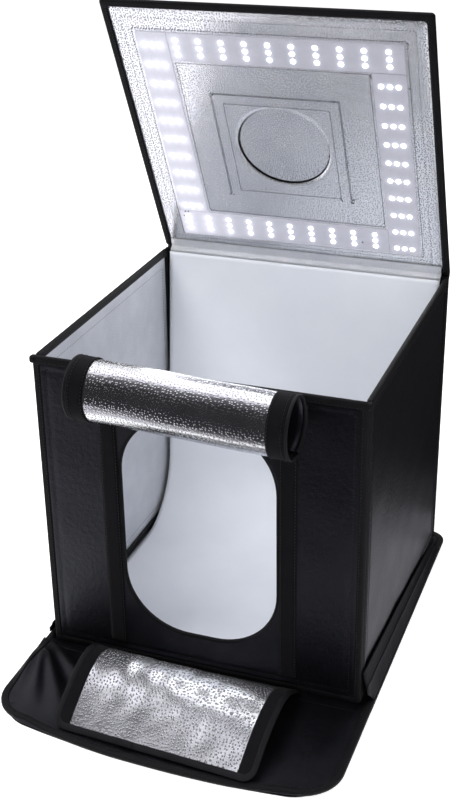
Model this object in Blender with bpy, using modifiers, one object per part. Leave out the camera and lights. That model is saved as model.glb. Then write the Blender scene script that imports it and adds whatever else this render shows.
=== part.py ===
# Light tent cube: a folding photo box with an LED lid, a front window with two flaps,
# a curved backdrop and the base of its carrying case.
# Metres, +Z up. The origin is on the floor under the middle of the cube, the window faces -Y.

import bpy
import numpy as np
from math import asin, atan, cos, pi, radians, sin, sqrt

# Overall sizes
CUBE = 0.400  # outside width and depth of the tent
RIM_HEIGHT = 0.400  # floor to the top edge of the walls
LID_OPEN = 64.16  # degrees from closed
SEAT = 0.0003  # gap between touching pieces
SAME_POINT = 0.00003  # points nearer than this are one

# One bound panel, from the tent's inside to its outside
LINING = 0.0006
BOARD = 0.0024
COVER = 0.0008
BINDING = 0.0008
BINDING_WIDTH = 0.009
BOARD_MARGIN = 0.018
PANEL_CORNER = 0.004
CORNER_STEPS = 3

# Carrying case: the base under the tent, its front flap and two side flaps
CASE_SIDE_OVERHANG = 0.0145
CASE_REAR_OVERHANG = 0.0145
CASE_FRONT_OVERHANG = 0.0048
CASE_COVER = 0.0012
CASE_CORNER = 0.022
CASE_BINDING_WIDTH = 0.010
FLAP_FOAM = 0.0020
CASE_FLAP_LINING = 0.0008
FLAP_LEFT_LENGTH = 0.145
FLAP_RIGHT_LENGTH = 0.161
FLAP_BOW = 0.021
FLAP_CORNER = 0.050
CASE_CORNER_STEPS = 7
FLAP_FRONT_STEPS = 12

# Side flaps, thin fabric that leans on the side walls
SIDE_FLAP = 0.0016
SIDE_FLAP_REAR_GAP = 0.024  # short of the wall's corner
SIDE_FLAP_FRONT_GAP = 0.010
SIDE_FLAP_RISE = 0.033
SIDE_FLAP_SETBACK = 0.002
SIDE_FLAP_STEPS = 14
SIDE_FLAP_FIRST_SHARE = 0.02

# Window in the front wall
WINDOW_WIDTH = 0.190
WINDOW_BOTTOM = 0.056
WINDOW_DROP = 0.055  # below the rim
WINDOW_CORNER = 0.078
WINDOW_STEPS = 8

# Hook and loop bands beside the window
STRIP = 0.0012
STRIP_WIDTH = 0.021
STRIP_GAP = 0.004  # from the window's edge
STRIP_BOTTOM = 0.025

# Upper window flap, rolled up and hanging on its hem
HEM_HEIGHT = 0.008
HEM_GAP = 0.001  # from the roll's end bands
ROLL_RADIUS = 0.0355
ROLL_DROP = 0.0158  # the roll's centre below the rim
ROLL_SIDE = 0.005  # past the hook and loop bands
ROLL_SHIFT = 0.004  # to the right
ROLL_BAND_WIDTH = 0.021
ROLL_BAND = 0.0010
ROLL_SLOPE = -0.0425  # rise of the roll's centre per metre to the right
ROLL_TURNS = 1.25
ROLL_PITCH = 0.0038
ROLL_STEPS = 44
ROLL_MEASURE_STEPS = 20
FLAP_COVER = 0.0008

# Lower window flap, folded out over the case's front flap
LOWER_FLAP_SIDE = 0.0065  # past the hook and loop bands
LOWER_FLAP_REACH = 0.151
LOWER_FLAP_STANDOFF = 0.0045  # seam in front of the wall
LOWER_FLAP_SEAM = 0.0085  # seam above the floor
LOWER_FLAP_BULGE_LEFT = 0.040
LOWER_FLAP_BULGE_RIGHT = 0.028
LOWER_FLAP_CORNER = 0.015
LOWER_FLAP_BAND_WIDTH = 0.021
LOWER_FLAP_BINDING = 0.0007
LOWER_FLAP_BINDING_WIDTH = 0.007
BULGE_SHARE = 0.75
SLOPE_STEP_SHARE = 0.01
LOWER_FLAP_STEPS = 12
LOWER_FLAP_CORNER_STEPS = 4
LOWER_FLAP_COLUMNS = 8

# Backdrop, hung from the rear wall and swept forward over the floor
BACKDROP = 0.0006
BACKDROP_SIDE_GAP = 0.0039
BACKDROP_TOP_DROP = 0.003
BACKDROP_FRONT_GAP = 0.007
BACKDROP_SWEEP = 0.100
BACKDROP_LEAN = 0.088
BACKDROP_STEPS = 12
HANG_STRIP = 0.0035
HANG_STRIP_HEIGHT = 0.016
HANG_STRIP_DROP = 0.004

# LED ring on the inside of the lid: four boards set like a pinwheel under one clear film
LED_BOARD_LENGTH = 0.285
LED_BOARD_WIDTH = 0.039
LED_BOARD = 0.0012
LED_BOARD_GAP = 0.0015
LED_CENTRE = 0.1958  # ring centre from the lid's hinge
LED_GROUPS = 10
LED_ROWS = 3
LED_FIRST = 0.0095  # first group from the board's near end
LED_LAST = 0.0172  # last group from its far end
LED_ROW_EDGE = 0.0092  # outer rows from the board's sides
LED_LENGTH = 0.0035
LED_WIDTH = 0.0028
LED_HEIGHT = 0.0007
LED_SINK = 0.0002
FILM = 0.0003
FILM_MARGIN = 0.0025
FILM_CLEARANCE = 0.0009
FILM_CORNER = 0.002

# Round camera port in the lid and the flap that closes it
PORT_RADIUS = 0.0595
PORT_STEPS = 40
PORT_CENTRE = 0.196
PORT_FLAP_SIDE = 0.0255  # past the port
PORT_FLAP_BEHIND = 0.0165
PORT_FLAP_AHEAD = 0.0215
PORT_HEM_LENGTH = 0.0125
PORT_STRIP = 0.0010
PORT_STRIP_WIDTH = 0.0145
PORT_STRIP_INSET = 0.003

# Power inlet at the rear of the lid
INLET_X = 0.095
INLET_DISTANCE = 0.0525
INLET_FLANGE_RADIUS = 0.0070
INLET_FLANGE = 0.0020
INLET_BARREL_RADIUS = 0.0047
INLET_BORE_RADIUS = 0.00275
INLET_FLOOR = 0.0010
INLET_PIN_RADIUS = 0.00105
INLET_PIN_RECESS = 0.0010
INLET_STEPS = 24

# Tape over the lid's hinge, sewn to the rear wall
TAPE = 0.0008
TAPE_HEIGHT = 0.0245
TAPE_SIDE_GAP = 0.010

# Levels in a panel, measured from the inner face of its binding
LINING_LOW = BINDING + SEAT
BOARD_LOW = LINING_LOW + LINING + SEAT
COVER_LOW = BOARD_LOW + BOARD + SEAT
COVER_TOP = COVER_LOW + COVER
WALL = COVER_TOP + SEAT + BINDING

# Levels in the case base and its front flap, measured from the floor
BASE_BOARD_LOW = CASE_COVER + SEAT
BASE_LINING_LOW = BASE_BOARD_LOW + BOARD + SEAT
BASE_TOP = BASE_LINING_LOW + LINING
FOAM_LOW = CASE_COVER + SEAT
FLAP_LINING_LOW = FOAM_LOW + FLAP_FOAM + SEAT
FLAP_TOP = FLAP_LINING_LOW + CASE_FLAP_LINING
WALL_FOOT = BASE_TOP + SEAT

# Places that several pieces share
HALF = CUBE / 2
INSIDE = HALF - WALL
CASE_HALF = HALF + CASE_SIDE_OVERHANG
CASE_FRONT = -HALF - CASE_FRONT_OVERHANG
FLAP_ROOT = CASE_FRONT - SEAT
WINDOW_TOP = RIM_HEIGHT - WINDOW_DROP
STRIP_INSIDE = WINDOW_WIDTH / 2 + STRIP_GAP
STRIP_OUTSIDE = STRIP_INSIDE + STRIP_WIDTH
STRIP_FACE = INSIDE + COVER_TOP + SEAT + STRIP
ROLL_LEFT = STRIP_OUTSIDE + ROLL_SIDE - ROLL_SHIFT
ROLL_RIGHT = STRIP_OUTSIDE + ROLL_SIDE + ROLL_SHIFT
LOWER_FLAP_WIDTH = 2 * (STRIP_OUTSIDE + LOWER_FLAP_SIDE)
LED_PITCH = (LED_BOARD_LENGTH - LED_FIRST - LED_LAST) / (LED_GROUPS - 1)
LED_ROW_PITCH = (LED_BOARD_WIDTH - 2 * LED_ROW_EDGE) / (LED_ROWS - 1)
PORT_FLAP_WIDTH = 2 * (PORT_RADIUS + PORT_FLAP_SIDE)
PORT_FLAP_REAR = PORT_CENTRE - PORT_RADIUS - PORT_FLAP_BEHIND
PORT_FLAP_FRONT = PORT_CENTRE + PORT_RADIUS + PORT_FLAP_AHEAD
SEAM_HEIGHT = RIM_HEIGHT - BINDING_WIDTH - SEAT
HEM = STRIP + SEAT + ROLL_BAND  # fills the space between the wall and the roll's lining
TAPE_DROP = WALL + 3 * SEAT  # below the rim, clear of the lid's edge as it turns
ROLL_STACK = ROLL_BAND + SEAT + LINING + SEAT + FLAP_COVER

# Colour, roughness and metallic value of each material
FINISHES = {
    "outer_fabric": ((0.012, 0.012, 0.014), 0.55, 0.0),
    "case_fabric": ((0.011, 0.011, 0.013), 0.70, 0.0),
    "grosgrain": ((0.008, 0.008, 0.009), 0.80, 0.0),
    "hook_and_loop": ((0.006, 0.006, 0.007), 0.95, 0.0),
    "board": ((0.28, 0.20, 0.13), 0.90, 0.0),
    "foam": ((0.05, 0.05, 0.05), 0.95, 0.0),
    "silver_film": ((0.72, 0.72, 0.75), 0.28, 1.0),
    "clear_film": ((0.80, 0.82, 0.86), 0.10, 0.0),
    "circuit_board": ((0.82, 0.83, 0.86), 0.50, 0.0),
    "backdrop_sheet": ((0.78, 0.79, 0.83), 0.55, 0.0),
    "inlet_plastic": ((0.02, 0.02, 0.02), 0.35, 0.0),
    "contact_metal": ((0.70, 0.68, 0.62), 0.25, 1.0),
}


def clearScene():
    """Removes what a new file holds and makes the two collections."""
    for thing in list(bpy.data.objects):
        bpy.data.objects.remove(thing)
    for name in ("light_tent_cube", "cutters"):
        collection = bpy.data.collections.new(name)
        bpy.context.scene.collection.children.link(collection)


def holder(name, place, turn=(0, 0, 0)):
    """An empty that carries a group of pieces."""
    empty = bpy.data.objects.new(name, None)
    empty.empty_display_size = BINDING_WIDTH
    empty.location = place
    empty.rotation_euler = turn
    bpy.data.collections["light_tent_cube"].objects.link(empty)
    return empty


def addPart(name, data, finish, parent, place=(0, 0, 0), turn=(0, 0, 0)):
    """Makes the named object with a material of its own and hangs it on its holder."""
    colour, roughness, metallic = FINISHES[finish]
    material = bpy.data.materials.new(name + "_" + finish)
    material.use_nodes = True
    shader = material.node_tree.nodes["Principled BSDF"]
    shader.inputs["Base Color"].default_value = (*colour, 1)
    shader.inputs["Roughness"].default_value = roughness
    shader.inputs["Metallic"].default_value = metallic
    data.materials.append(material)
    thing = bpy.data.objects.new(name, data)
    thing.location = place
    thing.rotation_euler = turn
    thing.parent = parent
    bpy.data.collections["light_tent_cube"].objects.link(thing)
    return thing


def plate(name, loops, low, thick, finish, parent):
    """A flat sheet cut to its outline, with any further loops as holes, from local z = low."""
    curve = bpy.data.curves.new(name, "CURVE")
    curve.dimensions = "2D"
    curve.fill_mode = "BOTH"
    curve.extrude = thick / 2
    for loop in loops:
        spline = curve.splines.new("POLY")
        spline.points.add(len(loop) - 1)
        points = np.zeros((len(loop), 4))
        points[:, :2] = loop
        points[:, 3] = 1
        spline.points.foreach_set("co", points.ravel())
        spline.use_cyclic_u = True
    thing = addPart(name, curve, finish, parent, (0, 0, low + thick / 2))
    weld = thing.modifiers.new("weld", "WELD")
    weld.merge_threshold = SAME_POINT


def sheet(name, rows, thick, finish, parent, loop=False):
    """A thin sheet through rows of points, with its thickness to both sides of them."""
    rows = np.asarray(rows, float)
    rowCount, columnCount = rows.shape[:2]
    corner = np.arange(rowCount * columnCount).reshape(rowCount, columnCount)
    if loop:
        corner = np.column_stack([corner, corner[:, 0]])
    faces = np.stack([corner[:-1, :-1], corner[:-1, 1:], corner[1:, 1:], corner[1:, :-1]], axis=-1)
    mesh = bpy.data.meshes.new(name)
    mesh.from_pydata(rows.reshape(-1, 3).tolist(), [], faces.reshape(-1, 4).tolist())
    thing = addPart(name, mesh, finish, parent)
    shell = thing.modifiers.new("thickness", "SOLIDIFY")
    shell.thickness = thick
    shell.offset = 0
    shell.use_even_offset = True


def arc(centreX, centreY, radius, start, end, steps):
    """Points on an arc, angles in degrees."""
    angles = np.radians(np.linspace(start, end, steps + 1))
    return np.column_stack([centreX + radius * np.cos(angles), centreY + radius * np.sin(angles)])


def roundedRectangle(left, right, low, high, radius, steps):
    """A closed outline, anticlockwise, with round corners."""
    centres = ((right, high, 0), (left, high, 90), (left, low, 180), (right, low, 270))
    corners = []
    for x, y, start in centres:
        centreX = x - radius if x == right else x + radius
        centreY = y - radius if y == high else y + radius
        corners.append(arc(centreX, centreY, radius, start, start + 90, steps))
    return np.vstack(corners)


def rectangle(left, right, low, high):
    """A closed outline with sharp corners, anticlockwise."""
    return [(left, low), (right, low), (right, high), (left, high)]


def atLevel(outline, level):
    """A flat outline as a row of points at one local height."""
    outline = np.asarray(outline, float)
    return np.column_stack([outline, np.full(len(outline), level)])


def bindingStrip(name, outline, low, high, thick, width, finish, parent, loop=True):
    """Fabric tape folded round an edge. outline(inset) gives the edge, drawn in by inset."""
    outer = outline(thick / 2)
    inner = outline(width)
    bottom = low + thick / 2
    top = high - thick / 2
    rows = [atLevel(inner, bottom), atLevel(outer, bottom), atLevel(outer, top), atLevel(inner, top)]
    sheet(name, rows, thick, finish, parent, loop)


def boundPanel(prefix, left, right, low, high, parent, holes=()):
    """A stiff board between a lining and an outer cover, with its edge bound in tape.

    The board, the lining and the cover all leave the holes open.
    """
    def edge(inset):
        radius = PANEL_CORNER
        return roundedRectangle(left + inset, right - inset, low + inset, high - inset, radius, CORNER_STEPS)

    skin = edge(BINDING + SEAT)
    plate(prefix + "_lining", [skin, *holes], LINING_LOW, LINING, "silver_film", parent)
    plate(prefix + "_board", [edge(BOARD_MARGIN), *holes], BOARD_LOW, BOARD, "board", parent)
    plate(prefix + "_cover", [skin, *holes], COVER_LOW, COVER, "outer_fabric", parent)
    bindingStrip(prefix + "_binding", edge, 0, WALL, BINDING, BINDING_WIDTH, "grosgrain", parent)


def edgeLiner(name, outline, parent):
    """A band of tape inside a hole. outline(grow) gives the hole, grown by that much."""
    depth = COVER_TOP - LINING_LOW
    plate(name, [outline(BINDING), outline(0)], LINING_LOW, depth, "grosgrain", parent)


def makeWalls():
    """Rear, left and right walls as plain bound panels, and the front wall with its window."""
    wallHeight = RIM_HEIGHT - WALL_FOOT
    sideHalf = INSIDE - SEAT
    places = {
        "rear_wall": ((0, INSIDE, WALL_FOOT), pi, HALF),
        "left_wall": ((-INSIDE, 0, WALL_FOOT), -pi / 2, sideHalf),
        "right_wall": ((INSIDE, 0, WALL_FOOT), pi / 2, sideHalf),
    }
    for prefix, (place, turn, half) in places.items():
        carrier = holder(prefix, place, (pi / 2, 0, turn))
        boundPanel(prefix, -half, half, 0, wallHeight, carrier)

    front = holder("front_wall", (0, -INSIDE, WALL_FOOT), (pi / 2, 0, 0))

    def window(grow):
        half = WINDOW_WIDTH / 2 + grow
        low = WINDOW_BOTTOM - WALL_FOOT - grow
        high = WINDOW_TOP - WALL_FOOT + grow
        return roundedRectangle(-half, half, low, high, WINDOW_CORNER + grow, WINDOW_STEPS)

    boundPanel("front_wall", -HALF, HALF, 0, wallHeight, front, [window(BINDING + SEAT)])
    edgeLiner("window_binding", window, front)

    hemTop = SEAM_HEIGHT - WALL_FOOT
    stripTop = hemTop - HEM_HEIGHT - SEAT
    stripLow = STRIP_BOTTOM - WALL_FOOT
    face = COVER_TOP + SEAT
    for side, sign in (("left", -1), ("right", 1)):
        left, right = sorted((sign * STRIP_INSIDE, sign * STRIP_OUTSIDE))
        outline = rectangle(left, right, stripLow, stripTop)
        plate("window_strip_" + side, [outline], face, STRIP, "hook_and_loop", front)
    hemHalf = ROLL_LEFT - ROLL_BAND_WIDTH - HEM_GAP
    hem = rectangle(-hemHalf, hemHalf, hemTop - HEM_HEIGHT, hemTop)
    plate("upper_flap_hem", [hem], face, HEM, "outer_fabric", front)

    rear = bpy.data.objects["rear_wall"]
    tapeHigh = wallHeight - TAPE_DROP
    tapeHalf = HALF - TAPE_SIDE_GAP
    tape = rectangle(-tapeHalf, tapeHalf, tapeHigh - TAPE_HEIGHT, tapeHigh)
    plate("lid_hinge_tape", [tape], WALL + SEAT, TAPE, "outer_fabric", rear)


def rollCentre(x):
    """Place of the roll's axis at x, as (y, z). It hangs in front of the hook and loop bands."""
    y = -(STRIP_FACE + SEAT + ROLL_RADIUS)
    return y, RIM_HEIGHT - ROLL_DROP + ROLL_SLOPE * x


def rollRows(left, right, depth):
    """Rows of a spiral from the seam down, forward, up and back in, at a depth in the cloth."""
    columns = []
    for x in (left, right):
        centreY, centreZ = rollCentre(x)
        start = asin((SEAM_HEIGHT - centreZ) / ROLL_RADIUS)
        swept = np.linspace(0, start + 2 * pi * ROLL_TURNS, ROLL_STEPS + 1)
        angles = start - swept
        radius = ROLL_RADIUS - depth - ROLL_PITCH * swept / (2 * pi)
        y = centreY + radius * np.cos(angles)
        z = centreZ + radius * np.sin(angles)
        columns.append(np.column_stack([np.full(len(angles), x), y, z]))
    return np.stack(columns, axis=1)


def makeUpperFlap():
    """The upper window flap, rolled up with its silver side out and black bands at its ends."""
    seam = holder("upper_flap", (0, -(STRIP_FACE + SEAT), SEAM_HEIGHT))
    origin = np.array(seam.location)

    def place(name, left, right, depth, thick, finish):
        middle = depth + thick / 2
        sheet(name, rollRows(left, right, middle) - origin, thick, finish, seam)

    place("upper_flap_lining", -ROLL_LEFT, ROLL_RIGHT, ROLL_BAND + SEAT, LINING, "silver_film")
    place("upper_flap_cover", -ROLL_LEFT, ROLL_RIGHT, ROLL_STACK - FLAP_COVER, FLAP_COVER, "outer_fabric")
    place("upper_flap_band_left", -ROLL_LEFT, ROLL_BAND_WIDTH - ROLL_LEFT, 0, ROLL_BAND, "hook_and_loop")
    place("upper_flap_band_right", ROLL_RIGHT - ROLL_BAND_WIDTH, ROLL_RIGHT, 0, ROLL_BAND, "hook_and_loop")
    print("least gap of the roll to itself, mm:", round(rollGap() * 1000, 2))


def rollGap():
    """The least distance between one turn's inner face and the outer face of the turn inside it."""
    faces = []
    for depth in (ROLL_STACK, 0):
        corners = rollRows(0, 0, depth)[:, 0]
        places = np.linspace(0, ROLL_STEPS, ROLL_STEPS * ROLL_MEASURE_STEPS + 1)
        faces.append(np.column_stack([np.interp(places, range(len(corners)), corners[:, i]) for i in (1, 2)]))
    outerTurn, innerTurn = faces
    apart = len(places) // 2
    return min(np.linalg.norm(innerTurn[i + apart:] - outerTurn[i], axis=1).min() for i in range(apart))


def lowerFlapPoints(x, along, lift):
    """Points of the folded-out lower flap: x across, along from the seam, lift from its middle."""
    share = np.clip(along / LOWER_FLAP_REACH, 0, 1)
    tipHeight = FLAP_TOP + SEAT + lowerFlapHalf()
    lean = (x + LOWER_FLAP_WIDTH / 2) / LOWER_FLAP_WIDTH
    bulge = LOWER_FLAP_BULGE_LEFT + (LOWER_FLAP_BULGE_RIGHT - LOWER_FLAP_BULGE_LEFT) * lean
    ahead = np.clip(share + SLOPE_STEP_SHARE, 0, 1)
    back = np.clip(share - SLOPE_STEP_SHARE, 0, 1)

    def height(value):
        straight = LOWER_FLAP_SEAM + (tipHeight - LOWER_FLAP_SEAM) * value
        return straight + bulge * np.sin(pi * value**BULGE_SHARE)

    runY = -LOWER_FLAP_REACH * (ahead - back)
    runZ = height(ahead) - height(back)
    length = np.hypot(runY, runZ)
    y = -HALF - LOWER_FLAP_STANDOFF - LOWER_FLAP_REACH * share + lift * runZ / length
    z = height(share) - lift * runY / length
    return np.column_stack([x, y, z])


def lowerFlapHalf():
    """Half the thickness of the lower flap at its bound edge."""
    return (FLAP_COVER + SEAT + LINING) / 2 + SEAT + LOWER_FLAP_BINDING


def lowerFlapEdge(inset):
    """The flap's bound edge in its own flat measure: down the left side, across and back."""
    half = LOWER_FLAP_WIDTH / 2 - inset
    reach = LOWER_FLAP_REACH - inset
    radius = LOWER_FLAP_CORNER - inset
    side = np.linspace(0, reach - radius, LOWER_FLAP_STEPS + 1)[:-1]
    left = np.column_stack([np.full(len(side), -half), side])
    cornerSteps = LOWER_FLAP_CORNER_STEPS
    leftArc = arc(-half + radius, -(reach - radius), radius, 180, 270, cornerSteps) * (1, -1)
    front = np.linspace(-half + radius, half - radius, LOWER_FLAP_COLUMNS + 1)[1:-1]
    middle = np.column_stack([front, np.full(len(front), reach)])
    rightArc = leftArc[::-1] * (-1, 1)
    right = left[::-1] * (-1, 1)
    return np.vstack([left, leftArc, middle, rightArc, right])


def lowerFlapSheet(left, right, inset, lift, columnCount=LOWER_FLAP_COLUMNS):
    """A grid over the flap between two sides, narrowed where its outer corners are round."""
    reach = LOWER_FLAP_REACH - inset
    radius = LOWER_FLAP_CORNER - inset
    straight = np.linspace(0, reach - radius, LOWER_FLAP_STEPS + 1)[:-1]
    angles = np.linspace(0, pi / 2, LOWER_FLAP_CORNER_STEPS + 1)
    alongs = np.concatenate([straight, reach - radius + radius * np.sin(angles)])
    drawIn = np.concatenate([np.zeros(len(straight)), radius * (1 - np.cos(angles))])
    rows = []
    for along, narrow in zip(alongs, drawIn):
        outside = LOWER_FLAP_WIDTH / 2 - inset - narrow
        columns = np.linspace(max(left, -outside), min(right, outside), columnCount + 1)
        rows.append(lowerFlapPoints(columns, np.full(len(columns), along), lift))
    return np.array(rows)


def makeLowerFlap():
    """The lower window flap, silver side up, with black bands and a bound edge."""
    parent = holder("lower_flap", (0, -HALF - LOWER_FLAP_STANDOFF, LOWER_FLAP_SEAM))
    half = LOWER_FLAP_WIDTH / 2
    stack = FLAP_COVER + SEAT + LINING
    coverLift = -(stack - FLAP_COVER) / 2
    liningLift = (stack - LINING) / 2
    rim = LOWER_FLAP_BINDING + SEAT
    bandInside = half - LOWER_FLAP_BAND_WIDTH
    bandOutside = half - LOWER_FLAP_BINDING_WIDTH - SEAT
    tip = LOWER_FLAP_BINDING_WIDTH + SEAT
    origin = np.array(parent.location)

    def place(name, rows, thick, finish):
        sheet(name, rows - origin, thick, finish, parent)

    coverRows = lowerFlapSheet(rim - half, half - rim, rim, coverLift)
    place("lower_flap_cover", coverRows, FLAP_COVER, "outer_fabric")
    liningRows = lowerFlapSheet(rim - half, half - rim, rim, liningLift)
    place("lower_flap_lining", liningRows, LINING, "silver_film")
    bandLift = stack / 2 + SEAT + LOWER_FLAP_BINDING / 2
    for side, sign in (("left", -1), ("right", 1)):
        left, right = sorted((sign * bandInside, sign * bandOutside))
        rows = lowerFlapSheet(left, right, tip, bandLift, 1)
        place("lower_flap_band_" + side, rows, LOWER_FLAP_BINDING, "hook_and_loop")

    inner = lowerFlapEdge(LOWER_FLAP_BINDING_WIDTH)
    outer = lowerFlapEdge(LOWER_FLAP_BINDING / 2)
    level = lowerFlapHalf() - LOWER_FLAP_BINDING / 2
    rows = [lowerFlapPoints(edge[:, 0], edge[:, 1], lift)
            for edge, lift in ((inner, -level), (outer, -level), (outer, level), (inner, level))]
    place("lower_flap_binding", np.array(rows), LOWER_FLAP_BINDING, "grosgrain")


def baseEdge(inset):
    """The base's bound edge: up its right side, across the rear and down the left side."""
    half = CASE_HALF - inset
    rear = HALF + CASE_REAR_OVERHANG - inset
    radius = CASE_CORNER - inset
    right = arc(half - radius, rear - radius, radius, 0, 90, CASE_CORNER_STEPS)
    left = arc(radius - half, rear - radius, radius, 90, 180, CASE_CORNER_STEPS)
    return np.vstack([[(half, CASE_FRONT)], right, left, [(-half, CASE_FRONT)]])


def frontFlapEdge(inset):
    """The front flap's bound edge: down its left side, along the bowed front, up the right."""
    half = CASE_HALF - inset
    radius = FLAP_CORNER - inset

    middleLength = (FLAP_LEFT_LENGTH + FLAP_RIGHT_LENGTH) / 2
    skew = (FLAP_RIGHT_LENGTH - FLAP_LEFT_LENGTH) / 2

    def front(x):
        share = x / CASE_HALF
        return FLAP_ROOT - middleLength - skew * share - FLAP_BOW * (1 - share**2) + inset

    def slope(x):
        return -skew / CASE_HALF + 2 * FLAP_BOW * x / CASE_HALF**2

    corners = []
    for sign in (-1, 1):
        centreX = sign * (half - radius)
        end = 270 + np.degrees(atan(slope(centreX)))
        endX = centreX + radius * cos(radians(end))
        centreY = front(endX) - radius * sin(radians(end))
        start = 180 if sign < 0 else 360
        corners.append(arc(centreX, centreY, radius, start, end, CASE_CORNER_STEPS))
    left, right = corners[0], corners[1][::-1]
    across = np.linspace(left[-1, 0], right[0, 0], FLAP_FRONT_STEPS + 1)[1:-1]
    middle = np.column_stack([across, front(across)])
    return np.vstack([[(-half, FLAP_ROOT)], left, middle, right, [(half, FLAP_ROOT)]])


def makeCase():
    """The case's base under the tent, its front flap on the floor and the two side flaps."""
    base = holder("base", (0, 0, 0))
    lower = CASE_BINDING_WIDTH + SEAT
    skin = baseEdge(BINDING + SEAT)
    plate("base_cover", [baseEdge(lower)], 0, CASE_COVER, "case_fabric", base)
    plate("base_board", [baseEdge(lower)], BASE_BOARD_LOW, BOARD, "board", base)
    plate("base_lining", [skin], BASE_LINING_LOW, LINING, "silver_film", base)
    top = BASE_TOP + SEAT + BINDING
    bindingStrip("base_binding", baseEdge, SEAT, top, BINDING, CASE_BINDING_WIDTH, "grosgrain", base, False)

    flapBinding = FLAP_TOP + SEAT + BINDING
    flap = holder("case_flap", (0, (CASE_FRONT + FLAP_ROOT) / 2, flapBinding + SEAT))

    def edge(inset):
        return frontFlapEdge(inset) - (flap.location.x, flap.location.y)

    drop = -flap.location.z
    plate("case_flap_cover", [edge(lower)], drop, CASE_COVER, "case_fabric", flap)
    plate("case_flap_foam", [edge(lower)], drop + FOAM_LOW, FLAP_FOAM, "foam", flap)
    liningLow = drop + FLAP_LINING_LOW
    plate("case_flap_lining", [edge(BINDING + SEAT)], liningLow, CASE_FLAP_LINING, "case_fabric", flap)
    bindingStrip("case_flap_binding", edge, drop + SEAT, drop + flapBinding, BINDING,
                 CASE_BINDING_WIDTH, "grosgrain", flap, False)

    for side, sign in (("left", -1), ("right", 1)):
        hinge = holder("side_flap_hinge_" + side, (sign * CASE_HALF, 0, top + SEAT))
        shares = np.linspace(sqrt(SIDE_FLAP_FIRST_SHARE), 1, SIDE_FLAP_STEPS + 1) ** 2
        rear = HALF - SIDE_FLAP_REAR_GAP
        front = SIDE_FLAP_FRONT_GAP - HALF
        y = rear + (front - rear) * shares
        foot = top + SEAT + SIDE_FLAP / 2
        footX = CASE_HALF - SIDE_FLAP_SETBACK
        ridgeX = HALF + SEAT + SIDE_FLAP
        bottom = np.column_stack([np.full(len(y), sign * footX), y, np.full(len(y), foot)])
        ridge = np.column_stack([np.full(len(y), sign * ridgeX), y, foot + SIDE_FLAP_RISE * np.sqrt(shares)])
        rows = np.array([bottom, ridge]) - np.array(hinge.location)
        sheet("side_flap_" + side, rows, SIDE_FLAP, "case_fabric", hinge)


def makeBackdrop():
    """The white backdrop: down from the rear wall, round a sweep and forward over the floor."""
    floor = BASE_TOP + SEAT + BACKDROP / 2
    topZ = RIM_HEIGHT - BACKDROP_TOP_DROP
    topY = INSIDE - SEAT - HANG_STRIP - SEAT - BACKDROP / 2
    tilt = atan(BACKDROP_LEAN)
    lineY = topY - (topZ - floor - BACKDROP_SWEEP) * BACKDROP_LEAN
    centreY = lineY - BACKDROP_SWEEP / cos(tilt)
    centreZ = floor + BACKDROP_SWEEP
    sweep = arc(centreY, centreZ, BACKDROP_SWEEP, -np.degrees(tilt), -90, BACKDROP_STEPS)
    profile = np.vstack([[(topY, topZ)], sweep, [(BACKDROP_FRONT_GAP - INSIDE, floor)]])
    half = INSIDE - BACKDROP_SIDE_GAP
    rows = [[(x, y, z) for x in (-half, half)] for y, z in profile]
    inside = holder("backdrop_holder", (0, 0, 0))
    sheet("backdrop", rows, BACKDROP, "backdrop_sheet", inside)

    rear = bpy.data.objects["rear_wall"]
    high = RIM_HEIGHT - WALL_FOOT - HANG_STRIP_DROP
    strip = rectangle(SEAT - INSIDE, INSIDE - SEAT, high - HANG_STRIP_HEIGHT, high)
    plate("backdrop_hang_strip", [strip], -SEAT - HANG_STRIP, HANG_STRIP, "hook_and_loop", rear)


def ledBoard(name, place, turn, parent):
    """One LED board with its chips, drawn from its own first end along local X."""
    bpy.ops.mesh.primitive_cube_add(size=1)
    cube = bpy.context.object
    mesh = cube.data
    bpy.data.objects.remove(cube)
    mesh.name = name
    board = mesh.copy()
    points = np.array([vertex.co for vertex in board.vertices])
    middle = (LED_BOARD_LENGTH / 2, 0, -LED_BOARD / 2)
    scaled = points * (LED_BOARD_LENGTH, LED_BOARD_WIDTH, LED_BOARD) + middle
    board.vertices.foreach_set("co", scaled.ravel())
    thing = addPart(name, board, "circuit_board", parent, place, turn)

    chipTall = LED_HEIGHT + LED_SINK
    chipLow = -LED_BOARD - LED_HEIGHT + chipTall / 2
    firstRow = -LED_ROW_PITCH * (LED_ROWS - 1) / 2
    scaled = points * (LED_WIDTH, LED_LENGTH, chipTall) + (LED_FIRST, firstRow, chipLow)
    mesh.vertices.foreach_set("co", scaled.ravel())
    chips = bpy.data.objects.new(name + "_chips", mesh)
    chips.parent = thing
    chips.hide_render = True
    chips.display_type = "WIRE"
    bpy.data.collections["cutters"].objects.link(chips)
    for count, step in ((LED_GROUPS, (LED_PITCH, 0, 0)), (LED_ROWS, (0, LED_ROW_PITCH, 0))):
        repeat = chips.modifiers.new("repeat", "ARRAY")
        repeat.count = count
        repeat.use_relative_offset = False
        repeat.use_constant_offset = True
        repeat.constant_offset_displace = step
    union = thing.modifiers.new("chips", "BOOLEAN")
    union.operation = "UNION"
    union.object = chips


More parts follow.
